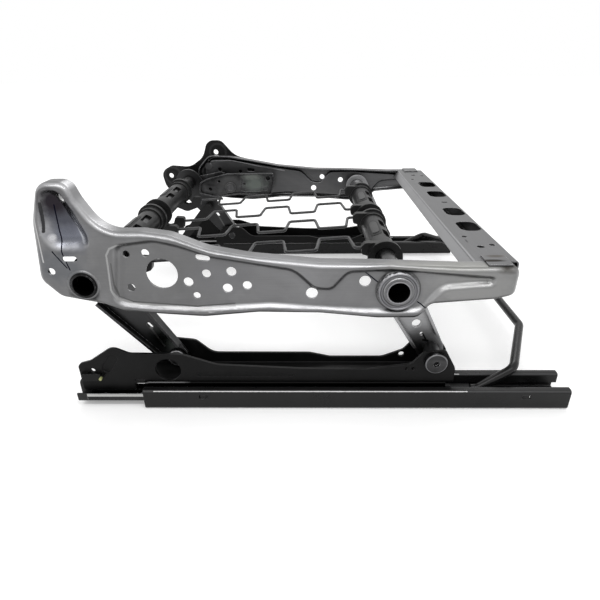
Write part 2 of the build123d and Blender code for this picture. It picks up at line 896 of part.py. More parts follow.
rear_socket_x = wire_rear_x + 30
front_socket_x = wire_front_x - 40
window_long = 26.0
window_high = 9.0
window_apart = 42.0
window_turn = -60
rear_arm = [
    (-238, 140, 3),
    (-236, 121, 12),
    (-214, 111, 12),
    (-190, 120, 4),
    (-187, 136, 4),
    (-201, 137, 3),
    (-205, 126, 5),
    (-213, 124, 5),
    (-222, 131, 3),
    (-225, 140, 3),
]
front_arm = [
    (95, 138, 3),
    (92, 153, 4),
    (66, 153, 4),
    (62, 149, 2),
    (62, 139, 3),
    (74, 136, 4),
    (80, 128, 4),
    (90, 128, 3),
]


# Height drive

def involute_tooth(teeth, grow):
    """Half of one tooth's outline, from the root to the tip, as (radius, half angle) pairs."""
    pitch_r = tooth_module * teeth / 2
    base_r = pitch_r * cos(radians(20))
    half_at_pitch = (pi * tooth_module / 4 - gear_backlash / 4 + grow) / pitch_r
    roll = sqrt((pitch_r / base_r) ** 2 - 1)
    inv_pitch = roll - atan2(roll, 1)
    pairs = []
    for step in range(5):
        r = max(pitch_r - 1.1 * tooth_module, base_r) + step / 4 * (
            pitch_r + tooth_module - max(pitch_r - 1.1 * tooth_module, base_r)
        )
        turn = sqrt(max((r / base_r) ** 2 - 1, 0))
        pairs.append((r, half_at_pitch + inv_pitch - (turn - atan2(turn, 1))))
    return pairs


def gear_face(teeth, shown, first_angle):
    """A toothed outline about the origin, with the shown teeth counted up from an angle."""
    pitch_r = tooth_module * teeth / 2
    root_r = pitch_r - 1.25 * tooth_module
    face = Circle(root_r)
    pairs = involute_tooth(teeth, 0)
    for index in range(shown):
        angle = first_angle + index * 2 * pi / teeth
        left = [(r * cos(angle + half), r * sin(angle + half)) for r, half in pairs]
        right = [(r * cos(angle - half), r * sin(angle - half)) for r, half in reversed(pairs)]
        foot = root_r - 1
        width = pairs[0][1]
        start = (foot * cos(angle + width), foot * sin(angle + width))
        end = (foot * cos(angle - width), foot * sin(angle - width))
        face += make_face(Polyline(start, *left, *right, end, close=True))
    return face


hub_r = 20.0
pinion_long = 8.0
bearing_flange_r = 19.0
drive_panel_y = gear_y - 16.5
drive_sheet = 2.0
shaft_end_y = half_width + bracket_thick + 9
shaft_square = 8.6
shaft_square_long = 5.0


def sector_arm():
    """A toothed fan welded to the rear tube. The pinion stands in a gap between its teeth."""
    tooth = 2 * pi / sector_teeth
    first = radians(pinion_angle) + (sector_first_gap + 0.5) * tooth
    last = first + (sector_shown_teeth - 1) * tooth
    line = (first + last) / 2
    face = gear_face(sector_teeth, sector_shown_teeth, first)
    spread = (last - first) / 2 + tooth / 2
    reach = 1.2 * tooth_module * sector_teeth / 2
    left = (reach * cos(line + spread), reach * sin(line + spread))
    right = (reach * cos(line - spread), reach * sin(line - spread))
    tip = (1.4 * reach * cos(line), 1.4 * reach * sin(line))
    fan = make_face(Polyline((-hub_r * cos(line), -hub_r * sin(line)), right, tip, left, close=True))
    face = (face & fan) + Circle(hub_r)
    place = Pos(rear_tube_x, rear_tube_z)
    y_a, y_b = gear_y - gear_thick / 2, gear_y + gear_thick / 2
    shape = slab(place * face, y_a, y_b)
    window = place * Rot(0, 0, degrees(line)) * Pos(40, 0) * SlotOverall(20, 10, rotation=90)
    shape -= slab(window, y_a - 1, y_b + 1)
    return shape - round_bar(rear_tube_x, rear_tube_z, tube_r, y_a - 1, y_b + 1)


def drive_pinion():
    facing = radians(pinion_angle) + pi
    face = Pos(pinion_x, pinion_z) * gear_face(pinion_teeth, pinion_teeth, facing)
    shape = slab(face, gear_y - pinion_long / 2, gear_y + pinion_long / 2)
    shape += round_bar(pinion_x, pinion_z, pinion_shaft_r, drive_panel_y - 2, shaft_end_y)
    flats = Pos(pinion_x, pinion_z) * (Circle(shaft_square) - Rectangle(shaft_square, shaft_square))
    return shape - slab(flats, shaft_end_y - shaft_square_long, shaft_end_y + 1)


def pinion_bearing():
    r = bearing_hole_r
    web_in = half_width - pocket_depth - member_sheet
    shape = round_bar(pinion_x, pinion_z, r, web_in, half_width + bracket_thick)
    shape += round_bar(pinion_x, pinion_z, bearing_flange_r, web_in, web_in - 2.5)
    bore = pinion_shaft_r + running_gap
    return shape - round_bar(pinion_x, pinion_z, bore, web_in - 5, half_width + 9)


drive_outline = [
    (-205, 126, 6),
    (-176, 119, 10),
    (-132, 124, 14),
    (-70, 122, 6),
    (-63, 150, 8),
    (-66, 163, 4),
    (-150, 163, 20),
    (-190, 153, 12),
    (-203, 146, 6),
]
drive_rim = 4.0
drive_dish = [
    (-128, 129, 5),
    (-88, 129, 5),
    (-88, 156, 5),
    (-124, 156, 5),
]
drive_holes = [(-184, 134, 3.4), (-80, 134, 3.2), (-76, 153, 4.2), (-120, 143, 2.4), (-167, 148, 2.6)]
foot_x = -71.0
foot_z = 143.0
foot_high = 22.0


def drive_bracket():
    """A folded panel inboard of the gears: it carries the pinion shaft's inner end."""
    face = rounded(drive_outline)
    y_a, y_b = drive_panel_y, drive_panel_y + drive_sheet
    rim = face - offset(face, -drive_sheet)
    shape = slab(face, y_a, y_b) + slab(rim, y_a - drive_rim, y_b)
    dish = slab(rounded(drive_dish), y_a - 1, y_a + drive_sheet / 2)
    shape -= dish
    collar_in = pinion_shaft_r + running_gap
    shape += slab(disc(pinion_x, pinion_z, pinion_shaft_r + 4), y_a - drive_rim / 2, y_b)
    web_in = half_width - pocket_depth - member_sheet
    shape += Pos(foot_x, (y_b + web_in) / 2, foot_z) * Box(drive_sheet, web_in - y_b, foot_high)
    shape += Pos(foot_x - 7, web_in - drive_sheet / 2, foot_z) * Box(16, drive_sheet, foot_high)
    for x, z, r in drive_holes:
        shape -= round_bar(x, z, r, y_a - 9, y_b + 1)
    return shape - round_bar(pinion_x, pinion_z, collar_in, y_a - 9, y_b + 1)


arm_top = (-192.0, 100.0)
arm_end = (-240.0, 45.0)
arm_y = link_y - link_thick / 2 - 16.0
arm_thick = 4.0
arm_notch = (-231, 66, 7, 5, 49)


def spring_arm():
    """A flat arm riveted to the far rear link, with a notch for the lift spring's hook."""
    face = hull_of([(*arm_top, 8), (*arm_end, 6.5)])
    shape = slab(face, arm_y, arm_y + arm_thick)
    shape += round_bar(*arm_top, 6, arm_y, link_y - link_thick / 2)
    x, z, long, wide, turn = arm_notch
    notch = Pos(x, z) * Rot(0, 0, turn) * Rectangle(long, wide)
    return shape - slab(notch, arm_y - 1, arm_y + arm_thick + 1)


# Every piece, saved under its own name

save(side_member_near(), "side_member_near")
save(side_member_far(), "side_member_far")
save(recliner_bracket(), "recliner_bracket_far")
nut_seat = -half_width + horn_bowl_depth + member_sheet
nut_place = horn_holes[0][:2]
save(hex_nut(*nut_place, horn_nut_flat, nut_seat, nut_seat + nut_high, horn_nut_bore_r), "horn_nut")

rivets = []
for rivet_x, rivet_z in bracket_rivets_at:
    outside = half_width + bracket_thick
    head = round_bar(rivet_x, rivet_z, rivet_r, outside, outside + 1.8)
    rivets.append(head + round_bar(rivet_x, rivet_z, rivet_shank_r, half_width, outside))
save(Compound(rivets), "bracket_rivets")

rear = (rear_tube_x, rear_tube_z)
front = (front_tube_x, front_tube_z)
save(tube(*rear, rear_tube_near_y, rear_tube_far_y, tube_r, tube_r - tube_wall), "rear_torque_tube")
front_end = half_width + tube_stick_out
save(tube(*front, -front_end, front_end, tube_r, tube_r - tube_wall), "front_torque_tube")
rear_bushes = [
    bush(*rear, -half_width - bush_out, rear_web_y),
    bush(*rear, half_width + bracket_thick + bush_out, half_width),
]
save(Compound(rear_bushes), "rear_tube_bushes")
front_bush = bush(*front, -half_width - bush_out, front_web_y)
save(Compound([front_bush, far(front_bush)]), "front_tube_bushes")

save(rear_link(rear_link_top_r), "rear_link_near")
save(far(rear_link(gear_lip_stop)), "rear_link_far")
for name, shape in (
    ("front_link", front_link()),
    ("riser", riser()),
    ("lower_rail", lower_rail()),
    ("upper_rail", upper_rail()),
    ("lock_lever", lock_lever()),
    ("rear_sleeve", sleeve(*rear, rear_arm, wire_rear_x - wire_clearance, rear_socket_x)),
    ("front_sleeve", sleeve(*front, front_arm, front_socket_x, wire_front_x + wire_clearance)),
):
    save(shape, name + "_near")
    save(far(shape), name + "_far")

for name, shape in (
    ("rear_pivot_studs", rear_stud()),
    ("front_pivot_bolts", front_bolt()),
    ("lever_pins", lever_pin()),
    ("rail_end_caps", rail_cap()),
):
    save(Compound([shape, far(shape)]), name)

clips = rear_clip()
save(Compound(clips + [far(piece) for piece in clips]), "rear_clips")

spacers = front_spacers()
save(Compound(spacers + [far(piece) for piece in spacers]), "front_pivot_spacers")
nut = hex_nut(front_pivot_x, front_pivot_z, nut_flat, -riser_in_y, -riser_in_y + nut_high, pin_r)
save(Compound([nut, far(nut)]), "front_pivot_nuts")

balls_near, cages_near = balls_and_cages(-rail_y)
balls_far, cages_far = balls_and_cages(rail_y)
save(Compound(balls_near + balls_far), "rail_balls")
save(Compound(cages_near + cages_far), "ball_cages")

save(release_bar(), "release_bar")
save(front_pan(), "front_pan")
for side, place in ((-1, "near"), (1, "far")):
    save(spring_wire(wire_centre, side, False), "inner_wire_" + place)
    save(spring_wire(wire_outer, side, True), "outer_wire_" + place)

save(sector_arm(), "sector_arm")
save(drive_pinion(), "drive_pinion")
save(pinion_bearing(), "pinion_bearing")
save(drive_bracket(), "drive_bracket")
save(spring_arm(), "spring_arm")
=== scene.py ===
from math import cos, radians, sin
import bmesh
import bpy
import numpy as np
from mathutils import Matrix, Vector
from mathutils.bvhtree import BVHTree
from mathutils.geometry import delaunay_2d_cdt
from mathutils.kdtree import KDTree


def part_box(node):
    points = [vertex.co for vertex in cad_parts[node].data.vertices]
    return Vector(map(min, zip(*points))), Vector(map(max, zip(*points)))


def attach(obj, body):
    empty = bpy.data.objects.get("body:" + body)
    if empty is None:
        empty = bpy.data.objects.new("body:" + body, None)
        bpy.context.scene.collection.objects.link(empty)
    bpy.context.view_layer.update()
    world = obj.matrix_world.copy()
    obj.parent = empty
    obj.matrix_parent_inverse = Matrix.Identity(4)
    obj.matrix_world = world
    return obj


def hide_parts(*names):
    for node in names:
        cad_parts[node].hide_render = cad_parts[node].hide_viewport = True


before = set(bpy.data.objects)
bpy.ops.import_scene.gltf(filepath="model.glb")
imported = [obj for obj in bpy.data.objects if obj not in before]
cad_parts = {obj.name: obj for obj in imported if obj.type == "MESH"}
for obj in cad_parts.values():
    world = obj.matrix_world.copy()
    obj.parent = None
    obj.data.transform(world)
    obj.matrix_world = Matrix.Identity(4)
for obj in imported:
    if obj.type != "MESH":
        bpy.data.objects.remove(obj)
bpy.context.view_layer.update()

camera_place = Vector((0.0007, -0.6682, 0.3394))
camera_pitch = radians(26.55)
camera_turn = radians(-1.32)
camera_roll = radians(-0.78)
focal_pixels = 470.0
photo_pixels = 600.0
sensor_mm = 36.0

forward = Vector((
    sin(camera_turn) * cos(camera_pitch),
    cos(camera_turn) * cos(camera_pitch),
    -sin(camera_pitch),
))
level_right = Vector((cos(camera_turn), -sin(camera_turn), 0.0))
level_up = level_right.cross(forward)
right = cos(camera_roll) * level_right + sin(camera_roll) * level_up
up = -sin(camera_roll) * level_right + cos(camera_roll) * level_up


def placed(name, data):
    """A new object in the scene with the given mesh, lamp or camera."""
    thing = bpy.data.objects.new(name, data)
    bpy.context.scene.collection.objects.link(thing)
    return thing


camera_data = bpy.data.cameras.new("camera")
camera_data.sensor_width = sensor_mm
camera_data.lens = sensor_mm * focal_pixels / photo_pixels
camera = placed("camera", camera_data)
turned = Matrix((right, up, -forward)).transposed().to_4x4()
camera.matrix_world = Matrix.Translation(camera_place) @ turned
bpy.context.scene.camera = camera

# Floor and light
# A plain pale studio floor under soft light. Two long strip lamps, one above the camera and one
# behind the frame, draw a bright line along every rolled fold while flat sheet stays mid grey.
bpy.context.scene.view_settings.view_transform = "Standard"


def use(nodes, kind, **settings):
    """A node with some of its properties or sockets set by name, or as i1, i2 by place."""
    node = nodes.new("ShaderNode" + kind)
    for key, value in settings.items():
        label = key.replace("_", " ")
        if hasattr(node, key):
            setattr(node, key, value)
        elif label in node.inputs:
            node.inputs[label].default_value = value
        else:
            node.inputs[int(key[1:])].default_value = value
    return node


def ramp(nodes, stops):
    """A colour ramp with the given (position, brightness) stops."""
    node = use(nodes, "ValToRGB")
    elements = node.color_ramp.elements
    while len(elements) < len(stops):
        elements.new(0.5)
    for element, (place, tone) in zip(elements, stops):
        element.position = place
        element.color = (tone, tone, tone, 1.0)
    return node


def background_rays(nodes, links):
    """One for rays that see the white studio: straight, mirrored or through something clear."""
    path = use(nodes, "LightPath")
    either = use(nodes, "Math", operation="MAXIMUM")
    any_of = use(nodes, "Math", operation="MAXIMUM")
    links.new(path.outputs["Is Camera Ray"], either.inputs[0])
    links.new(path.outputs["Is Glossy Ray"], either.inputs[1])
    links.new(either.outputs[0], any_of.inputs[0])
    links.new(path.outputs["Is Transmission Ray"], any_of.inputs[1])
    return any_of.outputs[0]


pure_white = (1.0, 1.0, 1.0, 1.0)
paper_white = (0.93, 0.93, 0.93, 1.0)

world = bpy.data.worlds.new("studio")
world.use_nodes = True
bpy.context.scene.world = world
nodes, links = world.node_tree.nodes, world.node_tree.links
nodes.clear()
direction = use(nodes, "TexCoord")
split = use(nodes, "SeparateXYZ")
height = use(nodes, "Math", operation="MULTIPLY_ADD", i1=0.5, i2=0.5)
sky = ramp(nodes, [(0.0, 0.3), (0.5, 0.3), (0.62, 0.4), (0.74, 0.7), (0.86, 0.9), (1.0, 0.85)])
room = use(nodes, "Background")
white = use(nodes, "Background", Color=pure_white)
mixed = use(nodes, "MixShader")
world_out = use(nodes, "OutputWorld")
links.new(direction.outputs["Generated"], split.inputs[0])
links.new(split.outputs["Z"], height.inputs[0])
links.new(height.outputs[0], sky.inputs["Fac"])
links.new(sky.outputs["Color"], room.inputs["Color"])
links.new(background_rays(nodes, links), mixed.inputs["Fac"])
links.new(room.outputs[0], mixed.inputs[1])
links.new(white.outputs[0], mixed.inputs[2])
links.new(mixed.outputs[0], world_out.inputs["Surface"])


def strip_lamp(name, place, target, long, wide, power):
    """A long rectangular lamp at a place, aimed at a target."""
    data = bpy.data.lights.new(name, "AREA")
    data.shape = "RECTANGLE"
    data.size = long
    data.size_y = wide
    data.energy = power
    lamp = placed(name, data)
    aim = (Vector(target) - Vector(place)).to_track_quat("-Z", "Y")
    lamp.matrix_world = Matrix.Translation(place) @ aim.to_matrix().to_4x4()


strip_lamp("front_strip", (0.0, -0.72, 1.05), (0.0, -0.15, 0.12), long=1.5, wide=0.16, power=4.5)
strip_lamp("rear_strip", (0.1, 0.80, 1.10), (0.0, 0.0, 0.12), long=1.4, wide=0.26, power=4.5)

# The floor lies a hair under the tracks, so that the two faces don't share a plane.
floor_half = 12.0
floor_z = -0.0002
floor_corners = [(-1, -1), (1, -1), (1, 1), (-1, 1)]
floor_mesh = bpy.data.meshes.new("floor")
floor_mesh.from_pydata(
    [(x * floor_half, y * floor_half, floor_z) for x, y in floor_corners], [], [(0, 1, 2, 3)]
)
floor = placed("floor", floor_mesh)

# The camera sees the paper glow a little, and more so further out, where it melts into the white.
paper = bpy.data.materials.new("floor_paper")
paper.use_nodes = True
nodes, links = paper.node_tree.nodes, paper.node_tree.links
nodes.clear()
matte = use(nodes, "BsdfDiffuse", Color=paper_white)
glow = use(nodes, "Emission", Color=pure_white)
spot = use(nodes, "TexCoord")
far_off = use(nodes, "VectorMath", operation="LENGTH")
reach = use(nodes, "MapRange", From_Min=0.3, From_Max=1.6, To_Min=0.22, To_Max=0.45)
seen = use(nodes, "Math", operation="MULTIPLY")
summed = use(nodes, "AddShader")
paper_out = use(nodes, "OutputMaterial")
links.new(spot.outputs["Object"], far_off.inputs[0])
links.new(far_off.outputs["Value"], reach.inputs["Value"])
links.new(background_rays(nodes, links), seen.inputs[0])
links.new(reach.outputs["Result"], seen.inputs[1])
links.new(seen.outputs[0], glow.inputs["Strength"])
links.new(matte.outputs[0], summed.inputs[0])
links.new(glow.outputs[0], summed.inputs[1])
links.new(summed.outputs[0], paper_out.inputs["Surface"])
floor_mesh.materials.append(paper)

# Near side member
# A deep-drawn tray of bare steel sheet with a horn at its rear. It shows fine scratches, clouds
# of drawing oil, rubbed edges and a few pen marks. Painted highlights and painted shade follow its
# folds and pocket walls, and painted shade deepens to blue-black at the top of the horn's bowl.
# Its web is laid again as a fine net, so that the pressed walls roll over into beads.

def node_group(name, inputs, outputs):
    """An empty shader group with its sockets, and its input and output nodes."""
    group = bpy.data.node_groups.new(name, "ShaderNodeTree")
    for label, kind, value in inputs:
        socket = group.interface.new_socket(label, in_out="INPUT", socket_type="NodeSocket" + kind)
        socket.default_value = value
    for label, kind in outputs:
        group.interface.new_socket(label, in_out="OUTPUT", socket_type="NodeSocket" + kind)
    return group, group.nodes.new("NodeGroupInput"), group.nodes.new("NodeGroupOutput")


def sheet_grain_group():
    """Fine lines along one direction, cloudy patches, and small specks, all in object space."""
    group, given, result = node_group(
        "sheet_grain",
        [("Stretch", "Vector", (20.0, 900.0, 900.0)), ("Cloud Size", "Float", 14.0)],
        [("Lines", "Float"), ("Clouds", "Float"), ("Specks", "Float")],
    )
    nodes, links = group.nodes, group.links
    place = use(nodes, "TexCoord")
    scaled = use(nodes, "VectorMath", operation="MULTIPLY")
    lines = use(nodes, "TexNoise", Scale=1.0, Detail=4.0, Roughness=0.6)
    clouds = use(nodes, "TexNoise", Detail=5.0, Roughness=0.55, Distortion=0.6)
    specks = use(nodes, "TexNoise", Scale=420.0, Detail=2.0, Roughness=0.5)
    links.new(place.outputs["Object"], scaled.inputs[0])
    links.new(given.outputs["Stretch"], scaled.inputs[1])
    links.new(scaled.outputs[0], lines.inputs["Vector"])
    links.new(place.outputs["Object"], clouds.inputs["Vector"])
    links.new(given.outputs["Cloud Size"], clouds.inputs["Scale"])
    links.new(place.outputs["Object"], specks.inputs["Vector"])
    links.new(lines.outputs["Fac"], result.inputs["Lines"])
    links.new(clouds.outputs["Fac"], result.inputs["Clouds"])
    links.new(specks.outputs["Fac"], result.inputs["Specks"])
    return group


def pressed_form_group():
    """Rounded edges, and masks of folds that face up, down or sideways and of crevices, for painted
    highlight and painted shade.
    """
    group, given, result = node_group(
        "pressed_form",
        [("Edge Radius", "Float", 0.0009), ("Crevice Size", "Float", 0.007)],
        [("Normal", "Vector"), ("Edge", "Float"), ("Fold Up", "Float"), ("Fold Down", "Float"),
         ("Fold Side", "Float"), ("Crevice", "Float")],
    )
    nodes, links = group.nodes, group.links
    bevel = use(nodes, "Bevel", samples=6)
    flat = use(nodes, "NewGeometry")
    agree = use(nodes, "VectorMath", operation="DOT_PRODUCT")
    sharp = use(nodes, "MapRange", From_Min=0.995, From_Max=0.80, To_Min=0.0, To_Max=1.0)
    links.new(given.outputs["Edge Radius"], bevel.inputs["Radius"])
    links.new(bevel.outputs["Normal"], agree.inputs[0])
    links.new(flat.outputs["Normal"], agree.inputs[1])
    links.new(agree.outputs["Value"], sharp.inputs["Value"])
    links.new(bevel.outputs["Normal"], result.inputs["Normal"])
    links.new(sharp.outputs["Result"], result.inputs["Edge"])

    local = use(nodes, "VectorTransform", vector_type="NORMAL", convert_from="WORLD",
                convert_to="OBJECT")
    size = use(nodes, "VectorMath", operation="ABSOLUTE")
    parts = use(nodes, "SeparateXYZ")
    facing = use(nodes, "SeparateXYZ")
    larger = use(nodes, "Math", operation="MAXIMUM")
    largest = use(nodes, "Math", operation="MAXIMUM")
    fold = use(nodes, "MapRange", From_Min=0.985, From_Max=0.82, To_Min=0.0, To_Max=1.0)
    up = use(nodes, "MapRange", From_Min=0.02, From_Max=0.45)
    down = use(nodes, "MapRange", From_Min=-0.02, From_Max=-0.45)
    fold_up_highlight = use(nodes, "Math", operation="MULTIPLY")
    fold_down_shade = use(nodes, "Math", operation="MULTIPLY")
    links.new(bevel.outputs["Normal"], local.inputs[0])
    links.new(local.outputs[0], size.inputs[0])
    links.new(size.outputs[0], parts.inputs[0])
    links.new(local.outputs[0], facing.inputs[0])
    links.new(parts.outputs["X"], larger.inputs[0])
    links.new(parts.outputs["Y"], larger.inputs[1])
    links.new(larger.outputs[0], largest.inputs[0])
    links.new(parts.outputs["Z"], largest.inputs[1])
    links.new(largest.outputs[0], fold.inputs["Value"])
    links.new(facing.outputs["Z"], up.inputs["Value"])
    links.new(facing.outputs["Z"], down.inputs["Value"])
    links.new(fold.outputs["Result"], fold_up_highlight.inputs[0])
    links.new(up.outputs["Result"], fold_up_highlight.inputs[1])
    links.new(fold.outputs["Result"], fold_down_shade.inputs[0])
    links.new(down.outputs["Result"], fold_down_shade.inputs[1])
    sideways = use(nodes, "MapRange", From_Min=0.15, From_Max=0.55)
    fold_side_highlight = use(nodes, "Math", operation="MULTIPLY")
    links.new(parts.outputs["X"], sideways.inputs["Value"])
    links.new(fold.outputs["Result"], fold_side_highlight.inputs[0])
    links.new(sideways.outputs["Result"], fold_side_highlight.inputs[1])
    links.new(fold_up_highlight.outputs[0], result.inputs["Fold Up"])
    links.new(fold_down_shade.outputs[0], result.inputs["Fold Down"])
    links.new(fold_side_highlight.outputs[0], result.inputs["Fold Side"])

    # The crevice mask is ambient occlusion, used for painted shade.
    hollow = use(nodes, "AmbientOcclusion", samples=6, only_local=True)
    deep = use(nodes, "MapRange", From_Min=0.93, From_Max=0.45, To_Min=0.0, To_Max=1.0)
    links.new(given.outputs["Crevice Size"], hollow.inputs["Distance"])
    links.new(hollow.outputs["AO"], deep.inputs["Value"])
    links.new(deep.outputs["Result"], result.inputs["Crevice"])
    return group


sheet_grain = sheet_grain_group()
pressed_form = pressed_form_group()


def painted(nodes, links, under, mask, colour):
    """Lays one colour over another where a mask says."""
    over = use(nodes, "Mix", data_type="RGBA")
    over.inputs["B"].default_value = (*colour, 1.0)
    links.new(mask, over.inputs["Factor"])
    links.new(under, over.inputs["A"])
    return over.outputs["Result"]


def grey(tone):
    """A neutral tone, very slightly cool."""
    return (tone, tone, tone * 1.02)


def steel(
    name, tones, roughness, fold_up_highlight=None, fold_down_shade=None, fold_side_highlight=None, crevice_shade=None,
    stretch=(20.0, 900.0, 900.0), cloud=14.0, bump=0.02, metallic=1.0, gloss=0.5,
    rounding=0.0009, lines=0.05, marks=()
):
    """A metal or coated surface whose tone, gloss and relief follow its grain.

    tones are those of its dark and light cloudy patches and of its rubbed edges, and roughness
    goes from its glossiest patches to its dullest. Folds that face up or sideways get painted
    highlights, and folds that face down and crevices get painted shade, each in a tone of its own.
    stretch and cloud scale the fine lines and the patches, and lines is how far the lines darken or
    lighten. marks is a list of (group, inputs, colour, roughness), painted last.
    """
    dark, light, worn = tones
    glossiest, dullest = roughness
    material = bpy.data.materials.new(name)
    material.use_nodes = True
    nodes, links = material.node_tree.nodes, material.node_tree.links
    shader = nodes["Principled BSDF"]
    shader.inputs["Metallic"].default_value = metallic
    shader.inputs["Specular IOR Level"].default_value = gloss
    grain = use(nodes, "Group", node_tree=sheet_grain)
    grain.inputs["Stretch"].default_value = stretch
    grain.inputs["Cloud Size"].default_value = cloud
    form = use(nodes, "Group", node_tree=pressed_form)
    form.inputs["Edge Radius"].default_value = rounding

    spread = use(nodes, "MapRange", From_Min=0.35, From_Max=0.68)
    tone = use(nodes, "Mix", data_type="RGBA")
    tone.inputs["A"].default_value = (*grey(dark), 1.0)
    tone.inputs["B"].default_value = (*grey(light), 1.0)
    links.new(grain.outputs["Clouds"], spread.inputs["Value"])
    links.new(spread.outputs["Result"], tone.inputs["Factor"])

    fine = use(nodes, "MapRange", From_Min=0.3, From_Max=0.7, To_Min=1.0 - lines,
               To_Max=1.0 + lines)
    lined = use(nodes, "Mix", data_type="RGBA", blend_type="MULTIPLY")
    lined.inputs["Factor"].default_value = 1.0
    links.new(grain.outputs["Lines"], fine.inputs["Value"])
    links.new(tone.outputs["Result"], lined.inputs["A"])
    links.new(fine.outputs["Result"], lined.inputs["B"])
    colour = lined.outputs["Result"]

    # Painted highlights on folds that face up or sideways, painted shade on folds that face down
    # and in crevices.
    for place, shade in (("Fold Side", fold_side_highlight), ("Fold Up", fold_up_highlight), ("Fold Down", fold_down_shade),
                         ("Crevice", crevice_shade)):
        if shade is not None:
            colour = painted(nodes, links, colour, form.outputs[place], grey(shade))
    broken = use(nodes, "MapRange", From_Min=0.42, From_Max=0.62)
    rubbed = use(nodes, "Math", operation="MULTIPLY")
    links.new(grain.outputs["Specks"], broken.inputs["Value"])
    links.new(form.outputs["Edge"], rubbed.inputs[0])
    links.new(broken.outputs["Result"], rubbed.inputs[1])
    colour = painted(nodes, links, colour, rubbed.outputs[0], grey(worn))

    dull = use(nodes, "MapRange", From_Min=0.3, From_Max=0.7, To_Min=glossiest, To_Max=dullest)
    links.new(grain.outputs["Clouds"], dull.inputs["Value"])
    rough = dull.outputs["Result"]
    for group, values, paint, paint_rough in marks:
        mark = use(nodes, "Group", node_tree=group)
        for label, value in values.items():
            mark.inputs[label].default_value = value
        colour = painted(nodes, links, colour, mark.outputs["Mask"], paint)
        duller = use(nodes, "Mix", data_type="FLOAT")
        duller.inputs["B"].default_value = paint_rough
        links.new(mark.outputs["Mask"], duller.inputs["Factor"])
        links.new(rough, duller.inputs["A"])
        rough = duller.outputs["Result"]

    relief = use(nodes, "Bump", Strength=bump, Distance=0.0004)
    links.new(grain.outputs["Lines"], relief.inputs["Height"])
    links.new(form.outputs["Normal"], relief.inputs["Normal"])
    links.new(colour, shader.inputs["Base Color"])
    links.new(rough, shader.inputs["Roughness"])
    links.new(relief.outputs["Normal"], shader.inputs["Normal"])
    return material


def dress(material, *names):
    """Gives CAD nodes their material."""
    for name in names:
        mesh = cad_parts[name].data
        mesh.materials.clear()
        mesh.materials.append(material)


def uneven(nodes, links, place, value, spread, **noise):
    """A value with noise added, spread evenly about zero, so that a mask's edge isn't clean."""
    cloud = use(nodes, "TexNoise", **noise)
    shift = use(nodes, "Math", operation="MULTIPLY_ADD", i1=spread, i2=-spread / 2)
    moved = use(nodes, "Math", operation="ADD")
    links.new(place.outputs["Object"], cloud.inputs["Vector"])
    links.new(cloud.outputs["Fac"], shift.inputs[0])
    links.new(value, moved.inputs[0])
    links.new(shift.outputs[0], moved.inputs[1])
    return moved.outputs[0]


def stroke_group():
    """A mask round a straight stroke seen from the side, at any depth, with an uneven edge."""
    group, given, result = node_group(
        "pen_stroke",
        [("From", "Vector", (0, 0, 0)), ("To", "Vector", (0, 0, 0)), ("Width", "Float", 0.001)],
        [("Mask", "Float")],
    )
    nodes, links = group.nodes, group.links
    place = use(nodes, "TexCoord")
    side_on = use(nodes, "VectorMath", operation="MULTIPLY", i1=(1.0, 0.0, 1.0))
    reach = use(nodes, "VectorMath", operation="SUBTRACT")
    along = use(nodes, "VectorMath", operation="SUBTRACT")
    dot = use(nodes, "VectorMath", operation="DOT_PRODUCT")
    square = use(nodes, "VectorMath", operation="DOT_PRODUCT")
    share = use(nodes, "Math", operation="DIVIDE", use_clamp=True)
    nearest = use(nodes, "VectorMath", operation="SCALE")
    off = use(nodes, "VectorMath", operation="SUBTRACT")
    apart = use(nodes, "VectorMath", operation="LENGTH")
    ratio = use(nodes, "Math", operation="DIVIDE")
    mask = use(nodes, "MapRange", From_Min=1.1, From_Max=0.8)
    links.new(place.outputs["Object"], side_on.inputs[0])
    links.new(side_on.outputs[0], reach.inputs[0])
    links.new(given.outputs["From"], reach.inputs[1])
    links.new(given.outputs["To"], along.inputs[0])
    links.new(given.outputs["From"], along.inputs[1])
    links.new(reach.outputs[0], dot.inputs[0])
    links.new(along.outputs[0], dot.inputs[1])
    links.new(along.outputs[0], square.inputs[0])
    links.new(along.outputs[0], square.inputs[1])
    links.new(dot.outputs["Value"], share.inputs[0])
    links.new(square.outputs["Value"], share.inputs[1])
    links.new(along.outputs[0], nearest.inputs[0])
    links.new(share.outputs[0], nearest.inputs["Scale"])
    links.new(reach.outputs[0], off.inputs[0])
    links.new(nearest.outputs[0], off.inputs[1])
    links.new(off.outputs[0], apart.inputs[0])
    moved = uneven(nodes, links, place, apart.outputs["Value"], spread=0.0006, Scale=900.0,
                   Detail=2.0)
    links.new(moved, ratio.inputs[0])
    links.new(given.outputs["Width"], ratio.inputs[1])
    links.new(ratio.outputs[0], mask.inputs["Value"])
    links.new(mask.outputs["Result"], result.inputs["Mask"])
    return group


